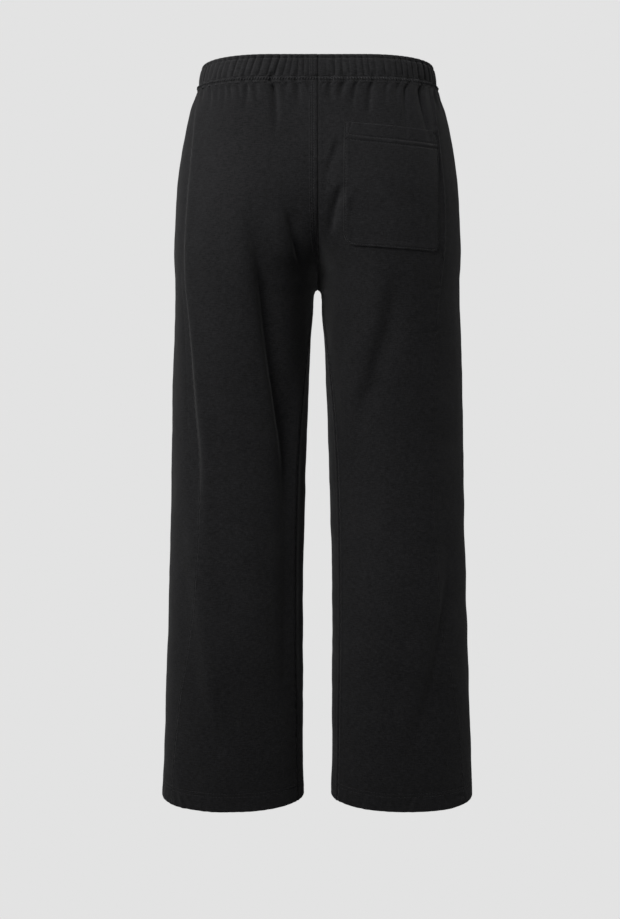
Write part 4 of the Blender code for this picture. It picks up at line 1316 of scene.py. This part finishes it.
def panel_stitches(panel, grid, outside):
    """The stitch rows on a panel: along the hem, and along its topstitched centre seam on the left."""
    edge = grid.centre_away + grid.side_away
    paths = []
    for place in HEM_STITCHES:
        row = int(np.argmin(np.abs(grid.level[:, 0] - HEM - place)))
        distances = np.arange(SEAM_CLEAR, edge[row, 0] - SEAM_CLEAR, 0.002)
        paths.append([(distance, HEM + place) for distance in distances])
    if panel.endswith("left"):
        levels = np.arange(BAND_LIP - 0.001, CROTCH + 0.012, -0.002)
        paths += [[(place, level) for level in levels] for place in STRIP_STITCHES]
    rows = [cut_into_stitches(*along_grid(outside, grid, path)) for path in paths]
    return thread_mesh(f"stitches_{panel}", rows)


def band_place(half, distance, level):
    """Points of half the waistband's finished face and the directions out of it, at one level."""
    height = band_relief(half, distance, level)
    return band_points(half, distance / loop_at(BAND_BOTTOM).length, level, height)


def band_stitches():
    """The waist seam's two rows, its slanted cover threads, and the centre back topstitching."""
    length = loop_at(BAND_BOTTOM).length
    rows = []
    for half in ("left", "right"):
        distance = np.arange(SEAM_CLEAR, length, 0.001)
        for level in SEAM_STITCHES:
            rows.append(cut_into_stitches(*band_place(half, distance, level)))
        starts = np.arange(SEAM_CLEAR, length - 2 * SEAM_CLEAR, SEAM_BUMPS)
        found = []
        for share in COVER_SHARES:
            level = COVER_LEVELS[0] + (COVER_LEVELS[1] - COVER_LEVELS[0]) * share
            found.append(band_place(half, starts + COVER_SLANT * share, level))
        spots, ways = (np.stack(part, axis=1) for part in zip(*found))
        rows.append(Stitches(spots, ways, COVER_THREAD))
    for place in STRIP_STITCHES:
        levels = np.arange(BAND_TOP - BAND_ROUND, SEAM_TOP, -0.001)
        found = [band_place("left", np.array([place]), level) for level in levels]
        rows.append(cut_into_stitches(*(np.concatenate(part) for part in zip(*found))))
    return thread_mesh("stitches_waistband", rows)


def pocket_stitches(grid):
    """The pocket's edge, hem and tack stitching."""
    size = POCKET
    outline = pocket_outline(200)
    ways = np.gradient(outline, axis=0)
    ways /= np.linalg.norm(ways, axis=1)[:, None]
    paths = [outline + np.column_stack([-ways[:, 1], ways[:, 0]]) * POCKET_STITCH]
    across = np.linspace(0.03, 0.97, 90)
    for place in POCKET_HEM_STITCHES:
        paths.append(np.column_stack(pocket_places(across, np.full_like(across, place / size.tall))))
    for start, end in POCKET_TACKS:
        paths.append(np.linspace(start, end, 12))
    rows = []
    for path in paths:
        x, level = path.T
        points, out = grid_at(grid, 1.0, x, level)
        from_top = np.maximum(Curve(size.top)(x) - level, 0.0)
        relief = pocket_relief(x, level, from_top, pocket_edge_distance(x, level))
        height = size.stand_off + size.wall + relief
        rows.append(cut_into_stitches(points + out * height[:, None], out))
    return thread_mesh("stitches_pocket", rows)


def wired(tree, kind, links, values):
    """A new shader node, with its inputs linked or set by name."""
    node = tree.nodes.new(kind)
    for name, source in links.items():
        tree.links.new(source, node.inputs[name])
    for name, value in values.items():
        node.inputs[name].default_value = value
    return node


def noise(tree, coordinates, scale, detail=2.0, rough=0.5):
    values = {"Scale": scale, "Detail": detail, "Roughness": rough}
    return wired(tree, "ShaderNodeTexNoise", {"Vector": coordinates}, values).outputs["Fac"]


def stretched(tree, coordinates, scale):
    return wired(tree, "ShaderNodeMapping", {"Vector": coordinates}, {"Scale": scale}).outputs["Vector"]


def ranged(tree, value, low, high, new_low, new_high):
    values = {"From Min": low, "From Max": high, "To Min": new_low, "To Max": new_high}
    return wired(tree, "ShaderNodeMapRange", {"Value": value}, values).outputs["Result"]


def arithmetic(tree, operation, a, b):
    node = tree.nodes.new("ShaderNodeMath")
    node.operation = operation
    for slot, value in enumerate((a, b)):
        if isinstance(value, (int, float)):
            node.inputs[slot].default_value = value
        else:
            tree.links.new(value, node.inputs[slot])
    return node.outputs[0]


def blended(tree, share, dark, light):
    node = tree.nodes.new("ShaderNodeMix")
    node.data_type = "RGBA"
    tree.links.new(share, node.inputs["Factor"])
    node.inputs[6].default_value = (*dark, 1.0)
    node.inputs[7].default_value = (*light, 1.0)
    return node.outputs[2]


def new_material(name):
    """A material with its node tree, its shader's inputs, and the places in space and on the flat cloth."""
    material = bpy.data.materials.new(name)
    material.use_nodes = True
    tree = material.node_tree
    coordinates = tree.nodes.new("ShaderNodeTexCoord").outputs
    return material, tree, tree.nodes["Principled BSDF"].inputs, coordinates["Object"], coordinates["UV"]


def add_relief(tree, surface, height, strength, distance):
    relief = wired(tree, "ShaderNodeBump", {"Height": height}, {"Strength": strength, "Distance": distance})
    tree.links.new(relief.outputs["Normal"], surface["Normal"])


def fleece_material(name, dark, light, sheen, bump_strength):
    """Brushed black jersey: heathered grain, faint wales, and a soft nap."""
    material, tree, surface, place, flat = new_material(name)
    grain = noise(tree, place, 620.0, 3.0, 0.6)
    clump = noise(tree, place, 150.0)
    patch = noise(tree, place, 14.0)
    slubs = noise(tree, stretched(tree, flat, (150.0, 700.0, 1.0)), 1.0)
    wales = noise(tree, stretched(tree, flat, (1100.0, 160.0, 1.0)), 1.0, 1.0)
    heather = arithmetic(tree, "MULTIPLY", grain, 0.35)
    for part, weight in ((wales, 0.15), (slubs, 0.30), (clump, 0.12), (patch, 0.08)):
        heather = arithmetic(tree, "ADD", heather, arithmetic(tree, "MULTIPLY", part, weight))
    share = ranged(tree, heather, 0.38, 0.62, 0.0, 1.0)
    tree.links.new(blended(tree, share, dark, light), surface["Base Color"])
    tree.links.new(ranged(tree, grain, 0.3, 0.7, 0.80, 0.97), surface["Roughness"])
    fine = arithmetic(tree, "MULTIPLY", noise(tree, place, 900.0, 3.0, 0.65), 0.6)
    nap = arithmetic(tree, "ADD", fine, arithmetic(tree, "MULTIPLY", wales, 0.4))
    add_relief(tree, surface, nap, bump_strength, 0.0006)
    surface["Specular IOR Level"].default_value = 0.25
    surface["Sheen Weight"].default_value = sheen
    surface["Sheen Roughness"].default_value = 0.5
    return material


def stage():
    """A wide pale floor whose rim rises all round into an even backdrop that doesn't light the cloth."""
    profile = [(STAGE_FLAT, FLOOR)]
    for step in range(1, 13):
        turn = math.pi / 2 * step / 12
        height = FLOOR + STAGE_CORNER * (1 - math.cos(turn))
        profile.append((STAGE_FLAT + STAGE_CORNER * math.sin(turn), height))
    profile.append((STAGE_FLAT + STAGE_CORNER, STAGE_TOP))
    count = 96
    rows = []
    turns = np.linspace(0.0, 2 * math.pi, count, endpoint=False)
    for radius, height in profile:
        rows.append(np.column_stack([radius * np.cos(turns), radius * np.sin(turns), np.full(count, height)]))
    points = [(0.0, 0.0, FLOOR)] + np.concatenate(rows).tolist()
    rings = [ring + ring[:1] for ring in numbered(rows, 1)]
    faces = [(0, a, b) for a, b in zip(rings[0], rings[0][1:])] + sheet_faces(rings)
    mesh = bpy.data.meshes.new("backdrop")
    mesh.from_pydata(points, [], faces)
    mesh.shade_smooth()
    material = bpy.data.materials.new("backdrop")
    material.use_nodes = True
    tree = material.node_tree
    tree.nodes.remove(tree.nodes["Principled BSDF"])
    glow = tree.nodes.new("ShaderNodeEmission")
    glow.inputs["Color"].default_value = (STAGE_GREY, STAGE_GREY, STAGE_GREY, 1.0)
    tree.links.new(glow.outputs[0], tree.nodes["Material Output"].inputs["Surface"])
    mesh.materials.append(material)
    backdrop = bpy.data.objects.new("backdrop", mesh)
    backdrop.visible_diffuse = False
    backdrop.visible_glossy = False
    backdrop.visible_transmission = False
    bpy.context.scene.collection.objects.link(backdrop)


def aimed(thing, place, aim):
    thing.location = place
    thing.rotation_euler = (Vector(aim) - Vector(place)).to_track_quat("-Z", "Y").to_euler()
    bpy.context.scene.collection.objects.link(thing)


def lamp(name, place, aim, size, power):
    light = bpy.data.lights.new(name, "AREA")
    light.shape = "RECTANGLE"
    light.size, light.size_y = size
    light.energy = power
    aimed(bpy.data.objects.new(name, light), place, aim)


def light_and_camera():
    scene = bpy.context.scene
    scene.view_settings.view_transform = "Standard"
    world = bpy.data.worlds.new("studio")
    world.use_nodes = True
    world.node_tree.nodes["Background"].inputs["Color"].default_value = (1.0, 1.0, 1.0, 1.0)
    world.node_tree.nodes["Background"].inputs["Strength"].default_value = WORLD_LIGHT
    scene.world = world
    for name, (place, size, power) in LAMPS.items():
        lamp(name, place, LAMP_AIM, size, power)
    camera = bpy.data.cameras.new("camera")
    camera.lens = CAMERA_LENS
    camera.sensor_width = CAMERA_SENSOR
    camera.clip_end = 100.0
    holder = bpy.data.objects.new("camera", camera)
    aimed(holder, CAMERA_PLACE, CAMERA_AIM)
    scene.camera = holder


def thread_material():
    """Dull black sewing thread, a little lighter than the cloth, with its twist."""
    material, tree, surface, place, _ = new_material("thread")
    twist = noise(tree, place, 1800.0)
    shade = ranged(tree, twist, 0.35, 0.65, 0.0, 1.0)
    tree.links.new(blended(tree, shade, THREAD_DARK, THREAD_LIGHT), surface["Base Color"])
    tree.links.new(ranged(tree, twist, 0.3, 0.7, 0.55, 0.75), surface["Roughness"])
    add_relief(tree, surface, twist, 0.4, 0.0002)
    return material


def add_stitches(mesh, material):
    piece = add_piece(mesh.name, mesh, material)
    return piece


def replace_piece(node):
    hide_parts(node)


def main():
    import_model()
    light_and_camera()
    stage()
    fleece = fleece_material("fleece", FLEECE_DARK, FLEECE_LIGHT, 0.20, 0.5)
    rib = fleece_material("rib", RIB_DARK, RIB_LIGHT, 0.20, 0.4)
    thread = thread_material()
    band = add_piece("cloth_waistband", band_mesh(), rib)
    seams = add_stitches(band_stitches(), thread)
    replace_piece("waistband")
    for panel in GATHERS:
        grid = panel_grid(panel)
        outside = outer_face(panel, grid)
        piece = add_piece(f"cloth_{panel}", panel_mesh(panel, grid, outside), fleece)
        seams = add_stitches(panel_stitches(panel, grid, outside), thread)
        replace_piece(panel)
        if panel == "back_right":
            pocket = add_piece("cloth_back_pocket", pocket_mesh(grid), fleece)
            seams = add_stitches(pocket_stitches(grid), thread)
            replace_piece("back_pocket")


main()
